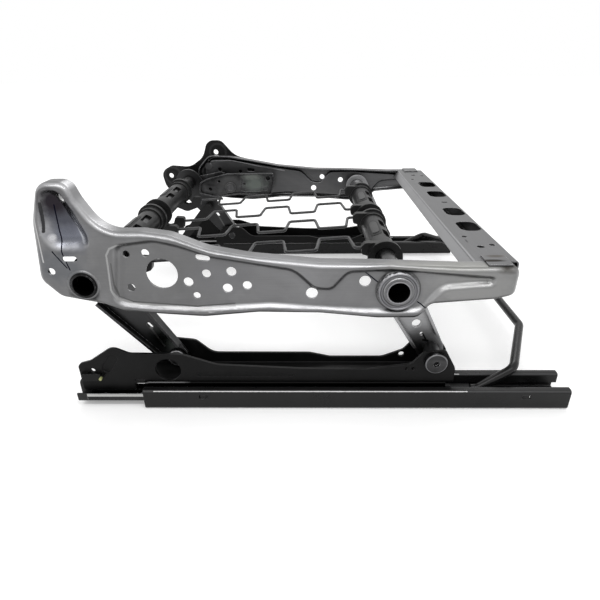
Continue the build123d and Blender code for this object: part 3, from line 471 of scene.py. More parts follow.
def patch_group():
    """A cloudy patch: an ellipsoid with a soft, broken edge."""
    group, given, result = node_group(
        "cloudy_patch",
        [("Centre", "Vector", (0, 0, 0)), ("Reach", "Vector", (1, 1, 1)), ("Amount", "Float", 1.0)],
        [("Mask", "Float")],
    )
    nodes, links = group.nodes, group.links
    place = use(nodes, "TexCoord")
    off = use(nodes, "VectorMath", operation="SUBTRACT")
    scaled = use(nodes, "VectorMath", operation="DIVIDE")
    apart = use(nodes, "VectorMath", operation="LENGTH")
    mask = use(nodes, "MapRange", From_Min=1.15, From_Max=0.45)
    amount = use(nodes, "Math", operation="MULTIPLY")
    links.new(place.outputs["Object"], off.inputs[0])
    links.new(given.outputs["Centre"], off.inputs[1])
    links.new(off.outputs[0], scaled.inputs[0])
    links.new(given.outputs["Reach"], scaled.inputs[1])
    links.new(scaled.outputs[0], apart.inputs[0])
    moved = uneven(nodes, links, place, apart.outputs["Value"], spread=0.9, Scale=70.0,
                   Detail=4.0, Roughness=0.6)
    links.new(moved, mask.inputs["Value"])
    links.new(mask.outputs["Result"], amount.inputs[0])
    links.new(given.outputs["Amount"], amount.inputs[1])
    links.new(amount.outputs[0], result.inputs["Mask"])
    return group


pen_stroke = stroke_group()
cloudy_patch = patch_group()


def ring_group():
    """A mask on a ring round an axis along the frame's width, with a slightly broken edge."""
    group, given, result = node_group(
        "worn_ring",
        [("Centre", "Vector", (0, 0, 0)), ("Radius", "Float", 0.01), ("Width", "Float", 0.001),
         ("Amount", "Float", 1.0)],
        [("Mask", "Float")],
    )
    nodes, links = group.nodes, group.links
    place = use(nodes, "TexCoord")
    side_on = use(nodes, "VectorMath", operation="MULTIPLY", i1=(1.0, 0.0, 1.0))
    off = use(nodes, "VectorMath", operation="SUBTRACT")
    out = use(nodes, "VectorMath", operation="LENGTH")
    miss = use(nodes, "Math", operation="SUBTRACT")
    apart = use(nodes, "Math", operation="ABSOLUTE")
    ratio = use(nodes, "Math", operation="DIVIDE")
    mask = use(nodes, "MapRange", From_Min=1.1, From_Max=0.6)
    amount = use(nodes, "Math", operation="MULTIPLY")
    links.new(place.outputs["Object"], side_on.inputs[0])
    links.new(side_on.outputs[0], off.inputs[0])
    links.new(given.outputs["Centre"], off.inputs[1])
    links.new(off.outputs[0], out.inputs[0])
    links.new(out.outputs["Value"], miss.inputs[0])
    links.new(given.outputs["Radius"], miss.inputs[1])
    links.new(miss.outputs[0], apart.inputs[0])
    links.new(apart.outputs[0], ratio.inputs[0])
    links.new(given.outputs["Width"], ratio.inputs[1])
    moved = uneven(nodes, links, place, ratio.outputs[0], spread=0.5, Scale=300.0, Detail=2.0)
    links.new(moved, mask.inputs["Value"])
    links.new(mask.outputs["Result"], amount.inputs[0])
    links.new(given.outputs["Amount"], amount.inputs[1])
    links.new(amount.outputs[0], result.inputs["Mask"])
    return group


worn_ring = ring_group()


def ring(centre, radius, wide, amount, colour, rough):
    """A ring round an (x, z) point, seen from the side."""
    place = (centre[0], 0.0, centre[1])
    return (worn_ring, {"Centre": place, "Radius": radius, "Width": wide, "Amount": amount},
            colour, rough)


def stroke(start, end, wide, colour, rough):
    """A mark drawn between two (x, z) points on a face seen from the side."""
    ends = {"From": (start[0], 0.0, start[1]), "To": (end[0], 0.0, end[1]), "Width": wide}
    return (pen_stroke, ends, colour, rough)


def patch(centre, reach, amount, colour, rough):
    """A cloudy patch round an (x, y, z) point."""
    return (cloudy_patch, {"Centre": centre, "Reach": reach, "Amount": amount}, colour, rough)


rear_tube = (-0.225, 0.145)
front_tube = (0.0895, 0.136)
ink = (0.003, 0.0035, 0.009)
pen_wide = 0.00065
pen_lines = [
    ((-0.2399, 0.2243), (-0.2408, 0.1990)),
    ((-0.2408, 0.1990), (-0.2395, 0.1810)),
    ((-0.2395, 0.1810), (-0.2351, 0.1617)),
    ((-0.2483, 0.1807), (-0.2376, 0.1639)),
    ((0.0563, 0.1554), (0.0684, 0.1454)),
    ((0.1102, 0.1229), (0.1183, 0.1172)),
]
member_marks_and_painted_light = [
    patch((-0.160, -0.241, 0.155), (0.095, 0.030, 0.050), 0.6, (0.115, 0.115, 0.115), 0.36),
    patch((-0.245, -0.243, 0.165), (0.030, 0.020, 0.020), 0.6, (0.095, 0.100, 0.110), 0.32),
    patch((0.165, -0.243, 0.140), (0.060, 0.010, 0.030), 0.7, (0.25, 0.25, 0.245), 0.36),
    patch((0.150, -0.238, 0.163), (0.085, 0.014, 0.007), 0.75, (0.25, 0.25, 0.235), 0.36),
    # Painted shade in the horn's bowl, bluish low down and deepening to blue-black at its top.
    patch((-0.231, -0.238, 0.196), (0.023, 0.020, 0.018), 0.85, (0.145, 0.153, 0.185), 0.24),
    patch((-0.234, -0.238, 0.216), (0.020, 0.020, 0.020), 0.90, (0.055, 0.057, 0.070), 0.22),
    patch((-0.238, -0.238, 0.229), (0.017, 0.030, 0.015), 1.0, (0.022, 0.019, 0.023), 0.20),
    stroke((-0.2530, 0.200), (-0.2490, 0.228), 0.0011, (0.040, 0.040, 0.042), 0.35),
    # Painted highlights: a line along the horn's left rim, a streak down the bowl's right side and
    # a glint low in the bowl.
    stroke((-0.2595, 0.170), (-0.2575, 0.215), 0.0007, (0.40, 0.40, 0.40), 0.30),
    stroke((-0.2215, 0.214), (-0.2165, 0.190), 0.0030, (0.36, 0.37, 0.40), 0.26),
    patch((-0.248, -0.238, 0.1928), (0.0036, 0.020, 0.0042), 1.0, (0.55, 0.55, 0.57), 0.25),
    ring(front_tube, 0.0180, 0.0026, 0.85, (0.20, 0.20, 0.21), 0.35),
    # A painted shade line round the outer edge of the front tube's pressed ring.
    ring(front_tube, 0.0222, 0.0008, 0.7, (0.05, 0.05, 0.05), 0.4),
    patch((-0.090, -0.241, 0.150), (0.035, 0.02, 0.020), 0.35, (0.17, 0.17, 0.18), 0.42),
    patch((0.195, -0.236, 0.160), (0.016, 0.012, 0.006), 0.9, (0.05, 0.045, 0.04), 0.6),
    patch((0.222, -0.240, 0.140), (0.006, 0.016, 0.022), 0.9, (0.03, 0.03, 0.03), 0.4),
]
# Painted highlight along the pocket's outer shoulder, and painted shade along the valley inside it.
shoulder_highlight = [
    (-0.1760, 0.1872), (-0.1850, 0.1864), (-0.1920, 0.1836), (-0.1962, 0.1770), (-0.1968, 0.1650),
    (-0.1985, 0.1400), (-0.1950, 0.1275), (-0.1780, 0.1222), (-0.1142, 0.1166), (-0.0759, 0.1196),
]
valley_shade = [
    (-0.1932, 0.1682), (-0.1948, 0.1450), (-0.1935, 0.1300), (-0.1802, 0.1242), (-0.1144, 0.1188),
    (-0.0760, 0.1218),
]
member_marks_and_painted_light += [stroke(a, b, 0.0010, (0.28, 0.28, 0.28), 0.32)
                 for a, b in zip(shoulder_highlight, shoulder_highlight[1:])]
member_marks_and_painted_light += [stroke(a, b, 0.0007, (0.10, 0.10, 0.10), 0.36)
                 for a, b in zip(valley_shade, valley_shade[1:])]
member_marks_and_painted_light += [stroke(a, b, pen_wide, ink, 0.35) for a, b in pen_lines]
pressed_steel = steel(
    "pressed_steel", tones=(0.145, 0.205, 0.48), roughness=(0.30, 0.42), fold_up_highlight=0.42,
    fold_down_shade=0.10, fold_side_highlight=0.30, crevice_shade=0.08, rounding=0.0012, marks=member_marks_and_painted_light,
)

web_y = 0.245
sheet = 0.002
deepest_press = 0.0105
weld_gap = 2e-6
near_form = bmesh.new()
near_form.from_mesh(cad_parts["side_member_near"].data)
bmesh.ops.remove_doubles(near_form, verts=near_form.verts, dist=weld_gap)
near_form.normal_update()

# How deep the web lies behind its outside face, cell by cell, with nan in its holes.
cell = 0.001
border = 6 * cell
probe_start_y = -(web_y + 0.02)
probe_reach = 0.035
low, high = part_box("side_member_near")
xs = np.arange(low.x - border, high.x + border, cell)
zs = np.arange(low.z - border, high.z + border, cell)
depth = np.full((len(xs), len(zs)), np.nan)
probed = BVHTree.FromBMesh(near_form)
for i, x in enumerate(xs):
    for k, z in enumerate(zs):
        hit = probed.ray_cast((x, probe_start_y, z), (0, 1, 0), probe_reach)[0]
        if hit is not None:
            depth[i, k] = web_y + hit.y


def shifted(grid, x_steps, z_steps, outside):
    """The grid moved by whole cells, with a value brought in from outside."""
    moved = np.full_like(grid, outside)
    x_to = slice(max(x_steps, 0), grid.shape[0] + min(x_steps, 0))
    x_from = slice(max(-x_steps, 0), grid.shape[0] + min(-x_steps, 0))
    z_to = slice(max(z_steps, 0), grid.shape[1] + min(z_steps, 0))
    z_from = slice(max(-z_steps, 0), grid.shape[1] + min(-z_steps, 0))
    moved[x_to, z_to] = grid[x_from, z_from]
    return moved


def neighbours(grid, outside):
    """The grid moved by one cell each way, which gives each cell its four neighbours."""
    return [shifted(grid, x, z, outside) for x, z in ((1, 0), (-1, 0), (0, 1), (0, -1))]


# How far each cell lies inside the member's outline, up to a limit. Holes count as inside.
margin_cells = 16
solid = ~np.isnan(depth)
outside = np.zeros_like(solid)
outside[0, :] = outside[-1, :] = outside[:, 0] = outside[:, -1] = True
for _ in range(len(xs)):
    outside = np.any([outside, *neighbours(outside, True)], axis=0) & ~solid
margin = np.zeros(depth.shape)
left = ~outside
for _ in range(margin_cells):
    left = left & np.all(neighbours(left, False), axis=0)
    margin += left * cell

tube_ring_r = 0.0235


def ring_gap(x, z):
    """How far a point seen from the side lies outside the nearest tube's flat ring."""
    tubes = (rear_tube, front_tube)
    return min(((x - cx) ** 2 + (z - cz) ** 2) ** 0.5 for cx, cz in tubes) - tube_ring_r


def blurred(grid, weight, cells):
    """The grid softened over a number of cells, taking only weighted cells into account."""
    reach = np.arange(-int(3 * cells), int(3 * cells) + 1)
    bell = np.exp(-((reach / cells) ** 2) / 2)

    def spread(values):
        across = np.apply_along_axis(np.convolve, 0, values, bell, mode="same")
        return np.apply_along_axis(np.convolve, 1, across, bell, mode="same")

    return spread(grid * weight) / np.maximum(spread(weight), 1e-9)


def smooth_rise(value):
    """Nothing below zero, one above one, and an S curve between them."""
    share = np.clip(value, 0.0, 1.0)
    return share * share * (3 - 2 * share)


# The softened depth: walls roll over into a low bead, and the horn's bowl is softened wider.
# share says where it counts: not in the strip along the outline, nor on the tubes' rings.
edge_strip = 0.005
strip_fade_start = 0.001
fade = 0.004
wall_roll = 1.5
bead_reach = 4.2
bead_rise = 0.75
highest_bead = 0.0011
bowl_roll = 3.4
bowl_front_x = -0.206
bowl_fade = 0.012
gap = np.array([[ring_gap(x, z) for z in zs] for x in xs])
usable = solid & (np.nan_to_num(depth, nan=1.0) < deepest_press)
weight = (usable & (margin >= edge_strip) & (gap > 0)).astype(float)
pressed = np.where(usable, np.nan_to_num(depth), 0.0)
rolled = blurred(pressed, weight, wall_roll)
around = blurred(pressed, weight, bead_reach)
rolled = np.maximum(rolled + bead_rise * (rolled - around), -highest_bead)
bowl = blurred(pressed, weight, bowl_roll)
in_bowl = smooth_rise((bowl_front_x - xs) / bowl_fade)[:, None]
soft = rolled * (1 - in_bowl) + bowl * in_bowl
raw = np.where(usable, pressed, soft)
share = smooth_rise((margin - edge_strip - strip_fade_start) / fade) * smooth_rise(gap / fade)


def read(grid, x, z):
    """The grid's value at a point, blended from the four cells round it."""
    i, k = (x - xs[0]) / cell, (z - zs[0]) / cell
    a, b = int(i), int(k)
    u, v = i - a, k - b
    return ((grid[a, b] * (1 - u) + grid[a + 1, b] * u) * (1 - v)
            + (grid[a, b + 1] * (1 - u) + grid[a + 1, b + 1] * u) * v)


def by_index(element):
    """Where a vertex or edge stands in its mesh."""
    return element.index


least_facing = 0.22
proud = 0.0003
net_pitch = 0.0018
crowding = 0.35
net_tolerance = 1e-7


def lay_skin(facing, inset):
    """Cuts away one skin of the web and lays it again as a fine net over the softened depth.

    facing is 1 for the outer skin and -1 for the inner one, which lies deeper by the inset. The
    net keeps the points along the cut, so the hole edges and flanges stay joined to it. Points
    are taken by index, so that each run lays them in the same order.
    """
    def depth_of(vert):
        """How far a vertex of this skin has been pressed in."""
        return web_y + vert.co.y - inset

    def in_web(face):
        """Whether a face is of this skin, inside the edge strip and not all on a tube's ring."""
        if -face.normal.y * facing < least_facing:
            return False
        for vert in face.verts:
            if not -proud < depth_of(vert) < deepest_press:
                return False
            if read(margin, vert.co.x, vert.co.z) < edge_strip:
                return False
        return any(ring_gap(v.co.x, v.co.z) > 0 for v in face.verts)

    near_form.verts.index_update()
    near_form.edges.index_update()
    skin = [face for face in near_form.faces if in_web(face)]
    cut = set(skin)
    rim = {e for f in skin for e in f.edges if sum(g in cut for g in e.link_faces) == 1}
    rim = sorted(rim, key=by_index)
    corners = sorted({v for e in rim for v in e.verts}, key=by_index)
    number = {v: n for n, v in enumerate(corners)}
    crowd = KDTree(len(corners))
    for n, v in enumerate(corners):
        crowd.insert((v.co.x, 0, v.co.z), n)
    crowd.balance()
    skin_verts = sorted({v for f in skin for v in f.verts}, key=by_index)
    order = {v: n for n, v in enumerate(skin_verts)}
    shape = BVHTree.FromPolygons(
        [(v.co.x, 0, v.co.z) for v in order], [[order[v] for v in f.verts] for f in skin]
    )

    def covered(x, z):
        """Whether the skin that is cut away lay over a point."""
        return shape.ray_cast((x, 1, z), (0, -1, 0))[0] is not None

    def softened_y(x, z, own_depth):
        """Where a point comes to lie, between its own depth and the softened one."""
        part = read(share, x, z)
        return -(web_y - (own_depth * (1 - part) + read(soft, x, z) * part) - inset)

    points = [Vector((v.co.x, v.co.z)) for v in corners]
    for x in np.arange(xs[0], xs[-1], net_pitch):
        for z in np.arange(zs[0], zs[-1], net_pitch):
            if covered(x, z) and crowd.find((x, 0, z))[2] > crowding * net_pitch:
                points.append(Vector((x, z)))
    edges = [(number[e.verts[0]], number[e.verts[1]]) for e in rim]
    laid, _, triangles, origins, _, _ = delaunay_2d_cdt(points, edges, [], 0, net_tolerance)
    for vert in corners:
        vert.co.y = softened_y(vert.co.x, vert.co.z, depth_of(vert))
    bmesh.ops.delete(near_form, geom=skin, context="FACES_ONLY")
    verts = []
    for (x, z), origin in zip(laid, origins):
        known = [n for n in origin if n < len(corners)]
        if known:
            verts.append(corners[known[0]])
        else:
            verts.append(near_form.verts.new((x, softened_y(x, z, read(raw, x, z)), z)))
    for triangle in triangles:
        x = sum(laid[n][0] for n in triangle) / 3
        z = sum(laid[n][1] for n in triangle) / 3
        trio = [verts[n] for n in triangle]
        if covered(x, z) and len(set(trio)) == 3 and near_form.faces.get(trio) is None:
            near_form.faces.new(trio)


lay_skin(1, 0.0)
near_form.normal_update()
lay_skin(-1, sheet)
loose = [edge for edge in near_form.edges if not edge.link_faces]
bmesh.ops.delete(near_form, geom=loose, context="EDGES")
loose = [vert for vert in near_form.verts if not vert.link_faces]
bmesh.ops.delete(near_form, geom=loose, context="VERTS")
bmesh.ops.recalc_face_normals(near_form, faces=near_form.faces)
sharp_fold = radians(38)
near_mesh = bpy.data.meshes.new("near_side_member")
near_form.to_mesh(near_mesh)
near_form.free()
near_mesh.shade_smooth()
near_mesh.set_sharp_from_angle(angle=sharp_fold)
near_mesh.materials.append(pressed_steel)
near_member = placed("near_side_member", near_mesh)
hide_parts("side_member_near")
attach(near_member, "cushion_frame")

# Far side member, drive bracket, recliner bracket and spring arm
# The member is the same sheet, in darker tones that are painted shade for the frame's own shade.
# The drive bracket is a folded panel that carries the pinion's inner end. The recliner bracket,
# riveted outside the member, and the spring arm, riveted to the far rear link, are flat steel
# coated black.
# A painted highlight along the pocket's top edge, and painted shade near the drive.
pocket_edge_highlight = [(-0.2038, 0.1695), (-0.1910, 0.1800), (-0.1454, 0.1806), (-0.1188, 0.1752),
               (-0.0969, 0.1702), (-0.0461, 0.1609)]
far_painted_shade_and_highlight = [patch((-0.150, 0.230, 0.145), (0.066, 0.03, 0.044), 0.5, (0.040, 0.040, 0.042), 0.4)]
far_painted_shade_and_highlight += [stroke(a, b, 0.0007, (0.42, 0.42, 0.43), 0.3)
              for a, b in zip(pocket_edge_highlight, pocket_edge_highlight[1:])]
# The darker tones of this copy of the pressed steel are painted shade.
far_steel = steel(
    "pressed_steel_dark", tones=(0.095, 0.135, 0.30), roughness=(0.30, 0.44), fold_up_highlight=0.34,
    fold_down_shade=0.035, fold_side_highlight=0.16, crevice_shade=0.02, rounding=0.0014, marks=far_painted_shade_and_highlight,
)
dress(far_steel, "side_member_far")
# Greenish grease smears with a painted sheen, and painted highlight lines along the bracket's rims.
grease_and_painted_highlights = [
    patch((-0.100, 0.209, 0.142), (0.022, 0.01, 0.014), 0.85, (0.16, 0.18, 0.165), 0.55),
    patch((-0.150, 0.209, 0.146), (0.026, 0.01, 0.012), 0.7, (0.10, 0.10, 0.10), 0.5),
    stroke((-0.118, 0.128), (-0.078, 0.139), 0.0010, (0.12, 0.125, 0.125), 0.5),
    stroke((-0.176, 0.1221), (-0.1392, 0.1291), 0.0010, (0.10, 0.10, 0.10), 0.5),
    patch((-0.105, 0.209, 0.156), (0.020, 0.01, 0.006), 0.8, (0.20, 0.215, 0.20), 0.5),
]
dress(
    steel("bracket_steel", tones=(0.045, 0.095, 0.26), roughness=(0.32, 0.5), fold_up_highlight=0.26,
          fold_down_shade=0.015, crevice_shade=0.01, cloud=55.0, lines=0.2, stretch=(120.0, 120.0, 500.0),
          marks=grease_and_painted_highlights),
    "drive_bracket",
)


def coating(name, tones, roughness, gloss, fold_up_highlight=None, bump=0.12, marks=()):
    """A dip-coated, painted or moulded surface with a faint orange-peel texture."""
    return steel(name, tones, roughness, fold_up_highlight=fold_up_highlight, stretch=(260.0, 260.0, 260.0),
                 cloud=18.0, bump=bump, metallic=0.0, gloss=gloss, marks=marks)


# Painted shade in the dished ring round each ear hole, and a painted highlight on the rim outside
# it.
ear_painted_shade_and_highlight = []
for ear in ((-0.171, 0.195), (-0.262, 0.153)):
    ear_painted_shade_and_highlight += [
        ring(ear, 0.0095, 0.0030, 0.95, (0.001, 0.001, 0.001), 0.5),
        ring(ear, 0.0150, 0.0022, 0.6, (0.035, 0.035, 0.036), 0.4),
    ]
dress(
    coating("black_coated_steel", tones=(0.004, 0.009, 0.05), roughness=(0.28, 0.42), gloss=0.22,
            fold_up_highlight=0.03, marks=ear_painted_shade_and_highlight),
    "recliner_bracket_far", "spring_arm",
)

# Front pan
# A folded rail of bare satin sheet, closed underneath and welded on top of both members. The
# weld has left dark scorched patches at its near end. Its rear wall is drawn up to a shallow lip.
pan_marks = [
    patch((0.184, -0.229, 0.163), (0.013, 0.0035, 0.004), 1.0, (0.020, 0.016, 0.013), 0.6),
    patch((0.190, -0.216, 0.163), (0.010, 0.0050, 0.004), 0.8, (0.07, 0.06, 0.05), 0.5),
    patch((0.176, -0.166, 0.1615), (0.0012, 0.0060, 0.002), 0.9, (0.03, 0.03, 0.03), 0.5),
]
pan_steel = steel(
    "pan_steel", tones=(0.118, 0.155, 0.38), roughness=(0.36, 0.5), fold_up_highlight=0.3, fold_down_shade=0.05,
    crevice_shade=0.05, stretch=(900.0, 20.0, 900.0), marks=pan_marks,
)
lip_front_x = 0.172
lip_bend_z = 0.157
lip_share = 0.3
pan_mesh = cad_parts["front_pan"].data.copy()
for vert in pan_mesh.vertices:
    if vert.co.x < lip_front_x and vert.co.z < lip_bend_z:
        vert.co.z = lip_bend_z - (lip_bend_z - vert.co.z) * lip_share
pan_mesh.materials.clear()
pan_mesh.materials.append(pan_steel)
pan = placed("lipped_front_pan", pan_mesh)
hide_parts("front_pan")
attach(pan, "cushion_frame")

# Risers and slide rails
# The risers are folded channels that stand on the upper rails. They and the lower rails are
# dip-coated charcoal, with a painted highlight line along the lower rails' top bend. The upper
# rails are bare drawn steel, with painted highlight lines at the rear and painted shade further
# forward.

def span_group():
    """A mask that rises between two planes square to an axis, with a smeared edge."""
    group, given, result = node_group(
        "smeared_span",
        [("Axis", "Vector", (1, 0, 0)), ("Begin", "Float", 0.0), ("Full", "Float", 0.01)],
        [("Mask", "Float")],
    )
    nodes, links = group.nodes, group.links
    place = use(nodes, "TexCoord")
    far_along = use(nodes, "VectorMath", operation="DOT_PRODUCT")
    mask = use(nodes, "MapRange")
    links.new(place.outputs["Object"], far_along.inputs[0])
    links.new(given.outputs["Axis"], far_along.inputs[1])
    moved = uneven(nodes, links, place, far_along.outputs["Value"], spread=0.006, Scale=160.0,
                   Detail=3.0)
    links.new(moved, mask.inputs["Value"])
    links.new(given.outputs["Begin"], mask.inputs["From Min"])
    links.new(given.outputs["Full"], mask.inputs["From Max"])
    links.new(mask.outputs["Result"], result.inputs["Mask"])
    return group


smeared_span = span_group()

dress(
    coating("riser_coating", tones=(0.003, 0.007, 0.03), roughness=(0.30, 0.46), gloss=0.12,
            fold_up_highlight=0.012),
    "riser_near", "riser_far",
)
rail_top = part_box("lower_rail_near")[1].z
line_z = rail_top - 0.0010
line_half = 0.170
# A painted highlight line along the lower rails' top bend.
top_bend_highlight = stroke((-line_half, line_z), (line_half, line_z), 0.00035, (0.75, 0.75, 0.75), 0.25)
dress(
    coating("track_coating", tones=(0.007, 0.011, 0.08), roughness=(0.24, 0.36), gloss=0.24,
            fold_up_highlight=0.05, marks=[top_bend_highlight]),
    "lower_rail_near", "lower_rail_far",
)
# Two painted highlight lines on the upper rails' bare rear, and painted shade from there forward.
rail_highlights_and_shade = [
    stroke((-0.246, 0.0152), (-0.184, 0.0152), 0.0018, (0.45, 0.45, 0.44), 0.2),
    stroke((-0.246, 0.0238), (-0.184, 0.0238), 0.0006, (0.60, 0.60, 0.60), 0.2),
    (smeared_span, {"Axis": (1, 0, 0), "Begin": -0.142, "Full": -0.132}, (0.012, 0.012, 0.012),
     0.3),
]
dress(
    steel("bare_rail_steel", tones=(0.022, 0.045, 0.35), roughness=(0.14, 0.24), fold_up_highlight=0.20,
          fold_down_shade=0.02, crevice_shade=0.01, marks=rail_highlights_and_shade),
    "upper_rail_near", "upper_rail_far",
)

# Torque tubes and links
# Two drawn tubes, dark with oil, turn in the members' bushes. The pressed links with lipped edges
# are fixed on them inside the members: the rear pair is dark and oily, the front pair bare satin.
# Painted shade over the rear tube's near end and bore, a lighter grey on the front tube's near end,
# and painted highlights on both tubes' far ends.
tube_shade_and_highlights = [
    patch((-0.225, -0.248, 0.145), (0.020, 0.006, 0.020), 1.0, (0.002, 0.002, 0.002), 0.5),
    patch((0.0895, -0.247, 0.136), (0.018, 0.005, 0.018), 0.9, (0.30, 0.30, 0.31), 0.35),
    patch((0.0887, 0.1981, 0.148), (0.006, 0.012, 0.004), 1.0, (0.75, 0.75, 0.75), 0.2),
    patch((-0.2177, 0.1979, 0.157), (0.009, 0.005, 0.004), 1.0, (0.60, 0.60, 0.60), 0.2),
]
dress(
    steel("tube_steel", tones=(0.05, 0.12, 0.5), roughness=(0.18, 0.34),
          stretch=(900.0, 20.0, 900.0), cloud=30.0, marks=tube_shade_and_highlights),
    "rear_torque_tube", "front_torque_tube",
)
link_marks = [
    patch((-0.163, -0.217, 0.066), (0.016, 0.01, 0.020), 0.7, (0.015, 0.020, 0.016), 0.22),
    stroke((-0.1766, 0.0835), (-0.1635, 0.0574), 0.0012, (0.09, 0.09, 0.09), 0.3),
]
dress(
    steel("rear_link_steel", tones=(0.028, 0.045, 0.22), roughness=(0.28, 0.42), fold_up_highlight=0.10,
          crevice_shade=0.01, marks=link_marks),
    "rear_link_near", "rear_link_far",
)
pivot_shade = [
    patch((0.131, -0.218, 0.055), (0.018, 0.01, 0.012), 0.8, (0.05, 0.05, 0.052), 0.35),
    stroke((0.1245, 0.0744), (0.1290, 0.0660), 0.0009, (0.01, 0.01, 0.01), 0.4),
    stroke((0.1265, 0.0650), (0.1312, 0.0640), 0.0014, (0.01, 0.01, 0.01), 0.4),
]
dress(
    steel("front_link_steel", tones=(0.26, 0.36, 0.6), roughness=(0.32, 0.45), fold_up_highlight=0.5,
          crevice_shade=0.16, marks=pivot_shade),
    "front_link_near", "front_link_far",
)

# Height drive
# A toothed fan welded to the rear tube, and the pinion that turns it. Both are machined steel
# with painted shade in the roots of their teeth.
dress(
    steel("gear_steel", tones=(0.06, 0.14, 0.4), roughness=(0.24, 0.4), crevice_shade=0.02, cloud=60.0),
    "sector_arm", "drive_pinion",
)

# Fasteners, studs, lock levers, balls and rear clips
# The fasteners, studs and the pinion's bearing are zinc-plated and dark with handling, with
# painted highlights on a few rims and a painted glint on the horn nut. The levers are bare stamped
# steel on pins in the upper rails, the rail balls are polished, and the straps on the risers' rear
# ends are coated black.
# Painted highlights on two pivot rims, and a painted glint on the horn nut.
fastener_highlights = [
    ring((0.135, 0.054), 0.0113, 0.0007, 0.6, (0.26, 0.26, 0.27), 0.3),
    ring((-0.150, 0.0435), 0.0092, 0.0007, 0.8, (0.36, 0.36, 0.37), 0.3),
    patch((-0.230, -0.234, 0.2315), (0.006, 0.008, 0.006), 1.0, (0.85, 0.85, 0.85), 0.3),
]
dress(
    steel("zinc", tones=(0.030, 0.060, 0.5), roughness=(0.3, 0.42), stretch=(420.0, 420.0, 420.0),
          cloud=60.0, crevice_shade=0.01, marks=fastener_highlights),
    "front_pivot_bolts", "front_pivot_nuts", "front_pivot_spacers", "rear_pivot_studs", "horn_nut",
    "bracket_rivets", "lever_pins", "pinion_bearing",
)
dress(
    steel("lever_steel", tones=(0.02, 0.045, 0.25), roughness=(0.3, 0.45)),
    "lock_lever_near", "lock_lever_far",
)
dress(steel("ball_steel", tones=(0.6, 0.7, 0.8), roughness=(0.06, 0.12)), "rail_balls")
pin_tip = patch((-0.226, -0.256, 0.038), (0.003, 0.004, 0.004), 1.0, (0.42, 0.44, 0.20), 0.35)
dress(
    coating("clip_coating", tones=(0.003, 0.007, 0.06), roughness=(0.3, 0.45), gloss=0.15,
            marks=[pin_tip]),
    "rear_clips",
)

# Release bar
# One steel rod, bent to cross in front of both tracks and fixed to the lock levers' front ends.
# It has a glossy black coat.
dress(
    coating("bar_coating", tones=(0.006, 0.010, 0.05), roughness=(0.20, 0.32), gloss=0.3,
            bump=0.06),
    "release_bar",
)

# Spring wires
# Four zigzag wires that carry the cushion. They are spring steel with a thin dark coat, rubbed
# along its length, and their ends sit in holes in the sleeves' arms.
dress(
    steel("wire_steel", tones=(0.035, 0.075, 0.2), roughness=(0.28, 0.42), metallic=0.6,
          gloss=0.3, cloud=40.0),
    "inner_wire_near", "inner_wire_far", "outer_wire_near", "outer_wire_far",
)

# Moulded sleeves and rail ends
# The sleeves on the torque tubes hold the wires, and the end pieces close the upper rails. All
# are black plastic with a fine spark-eroded texture.
black_plastic = coating(
    "black_plastic", tones=(0.004, 0.008, 0.03), roughness=(0.36, 0.5), gloss=0.32, bump=0.3
)
sleeves = ["rear_sleeve_near", "rear_sleeve_far", "front_sleeve_near", "front_sleeve_far"]
dress(black_plastic, *sleeves, "rail_end_caps")

# Sleeve tongues
# A long tongue moulded in a shallow slot along each sleeve, greyer than the sleeve round it.
# The slot's frame is a darker strip of painted shade.
sleeve_radius = 0.01555
slot_lean = {"rear": -0.42, "front": -0.35}
frame_size = (0.50, 0.058, 0.0004)
tongue_size = (0.30, 0.044, 0.0012)
strip_cells = (10, 16)
end_roundness = 8
narrowest_end = 0.25
sunk = 0.0006
rim_wide = 0.0003
rim_steps = 2
tongue_plastic = coating(
    "tongue_plastic", tones=(0.014, 0.030, 0.10), roughness=(0.34, 0.5), gloss=0.3, bump=0.3
)
# The slot's frame: painted shade, darker than the black sleeve.
slot_shade_plastic = coating(
    "slot_shade_plastic", tones=(0.0015, 0.003, 0.010), roughness=(0.4, 0.55), gloss=0.2
)


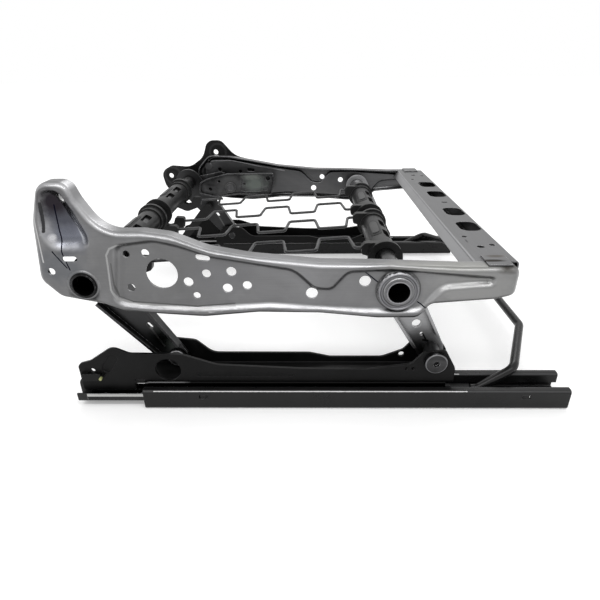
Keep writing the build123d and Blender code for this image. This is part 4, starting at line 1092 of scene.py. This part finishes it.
def curved_strip(name, axis, lean, size, y_middle, material):
    """A round-ended strip on a sleeve, sunk a little into it.

    size is its half angle round the sleeve, its length and how far it stands proud, and lean is
    the angle of its middle from straight up, negative to the rear.
    """
    half_angle, length, high = size
    across, along = strip_cells
    form = bmesh.new()
    rows = []
    for j in range(along + 1):
        step = 2 * j / along - 1
        narrow = (1 - abs(step) ** end_roundness) ** 0.5
        row = []
        for i in range(across + 1):
            turn = lean + half_angle * max(narrow, narrowest_end) * (2 * i / across - 1)
            row.append(form.verts.new((axis[0] + sleeve_radius * sin(turn),
                                       y_middle + step * length / 2,
                                       axis[1] + sleeve_radius * cos(turn))))
        rows.append(row)
    for front, back in zip(rows, rows[1:]):
        for i in range(across):
            form.faces.new((front[i], front[i + 1], back[i + 1], back[i]))
    bmesh.ops.recalc_face_normals(form, faces=form.faces)
    middle = form.faces[len(rows) * across // 2]
    form.normal_update()
    if middle.normal.z < 0:
        bmesh.ops.reverse_faces(form, faces=form.faces)
    mesh = bpy.data.meshes.new(name)
    form.to_mesh(mesh)
    form.free()
    mesh.shade_smooth()
    mesh.materials.append(material)
    piece = placed(name, mesh)
    thick = piece.modifiers.new("thickness", "SOLIDIFY")
    thick.thickness = high + sunk
    thick.offset = 1.0 - 2 * sunk / thick.thickness
    rim = piece.modifiers.new("rim", "BEVEL")
    rim.width = rim_wide
    rim.segments = rim_steps
    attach(piece, "cushion_frame")


for node in sleeves:
    end = node.split("_")[0]
    axis = rear_tube if end == "rear" else front_tube
    low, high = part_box(node)
    y_middle = (low.y + high.y) / 2
    curved_strip(node + "_slot", axis, slot_lean[end], frame_size, y_middle, slot_shade_plastic)
    curved_strip(node + "_tongue", axis, slot_lean[end], tongue_size, y_middle, tongue_plastic)

# Bushes and cages
# Plain moulded bushes, pressed into the members' tube holes from inside, and the pale cages that
# space the rail balls. The front near bush is grey, like the ring around it.
bush_marks = [
    patch((0.0895, -0.246, 0.136), (0.022, 0.006, 0.022), 1.0, (0.27, 0.27, 0.28), 0.4),
]
dress(
    coating("bush_plastic", tones=(0.004, 0.008, 0.012), roughness=(0.4, 0.55), gloss=0.2,
            marks=bush_marks),
    "rear_tube_bushes", "front_tube_bushes",
)
dress(
    coating("cage_plastic", tones=(0.5, 0.62, 0.7), roughness=(0.4, 0.5), gloss=0.5),
    "ball_cages",
)
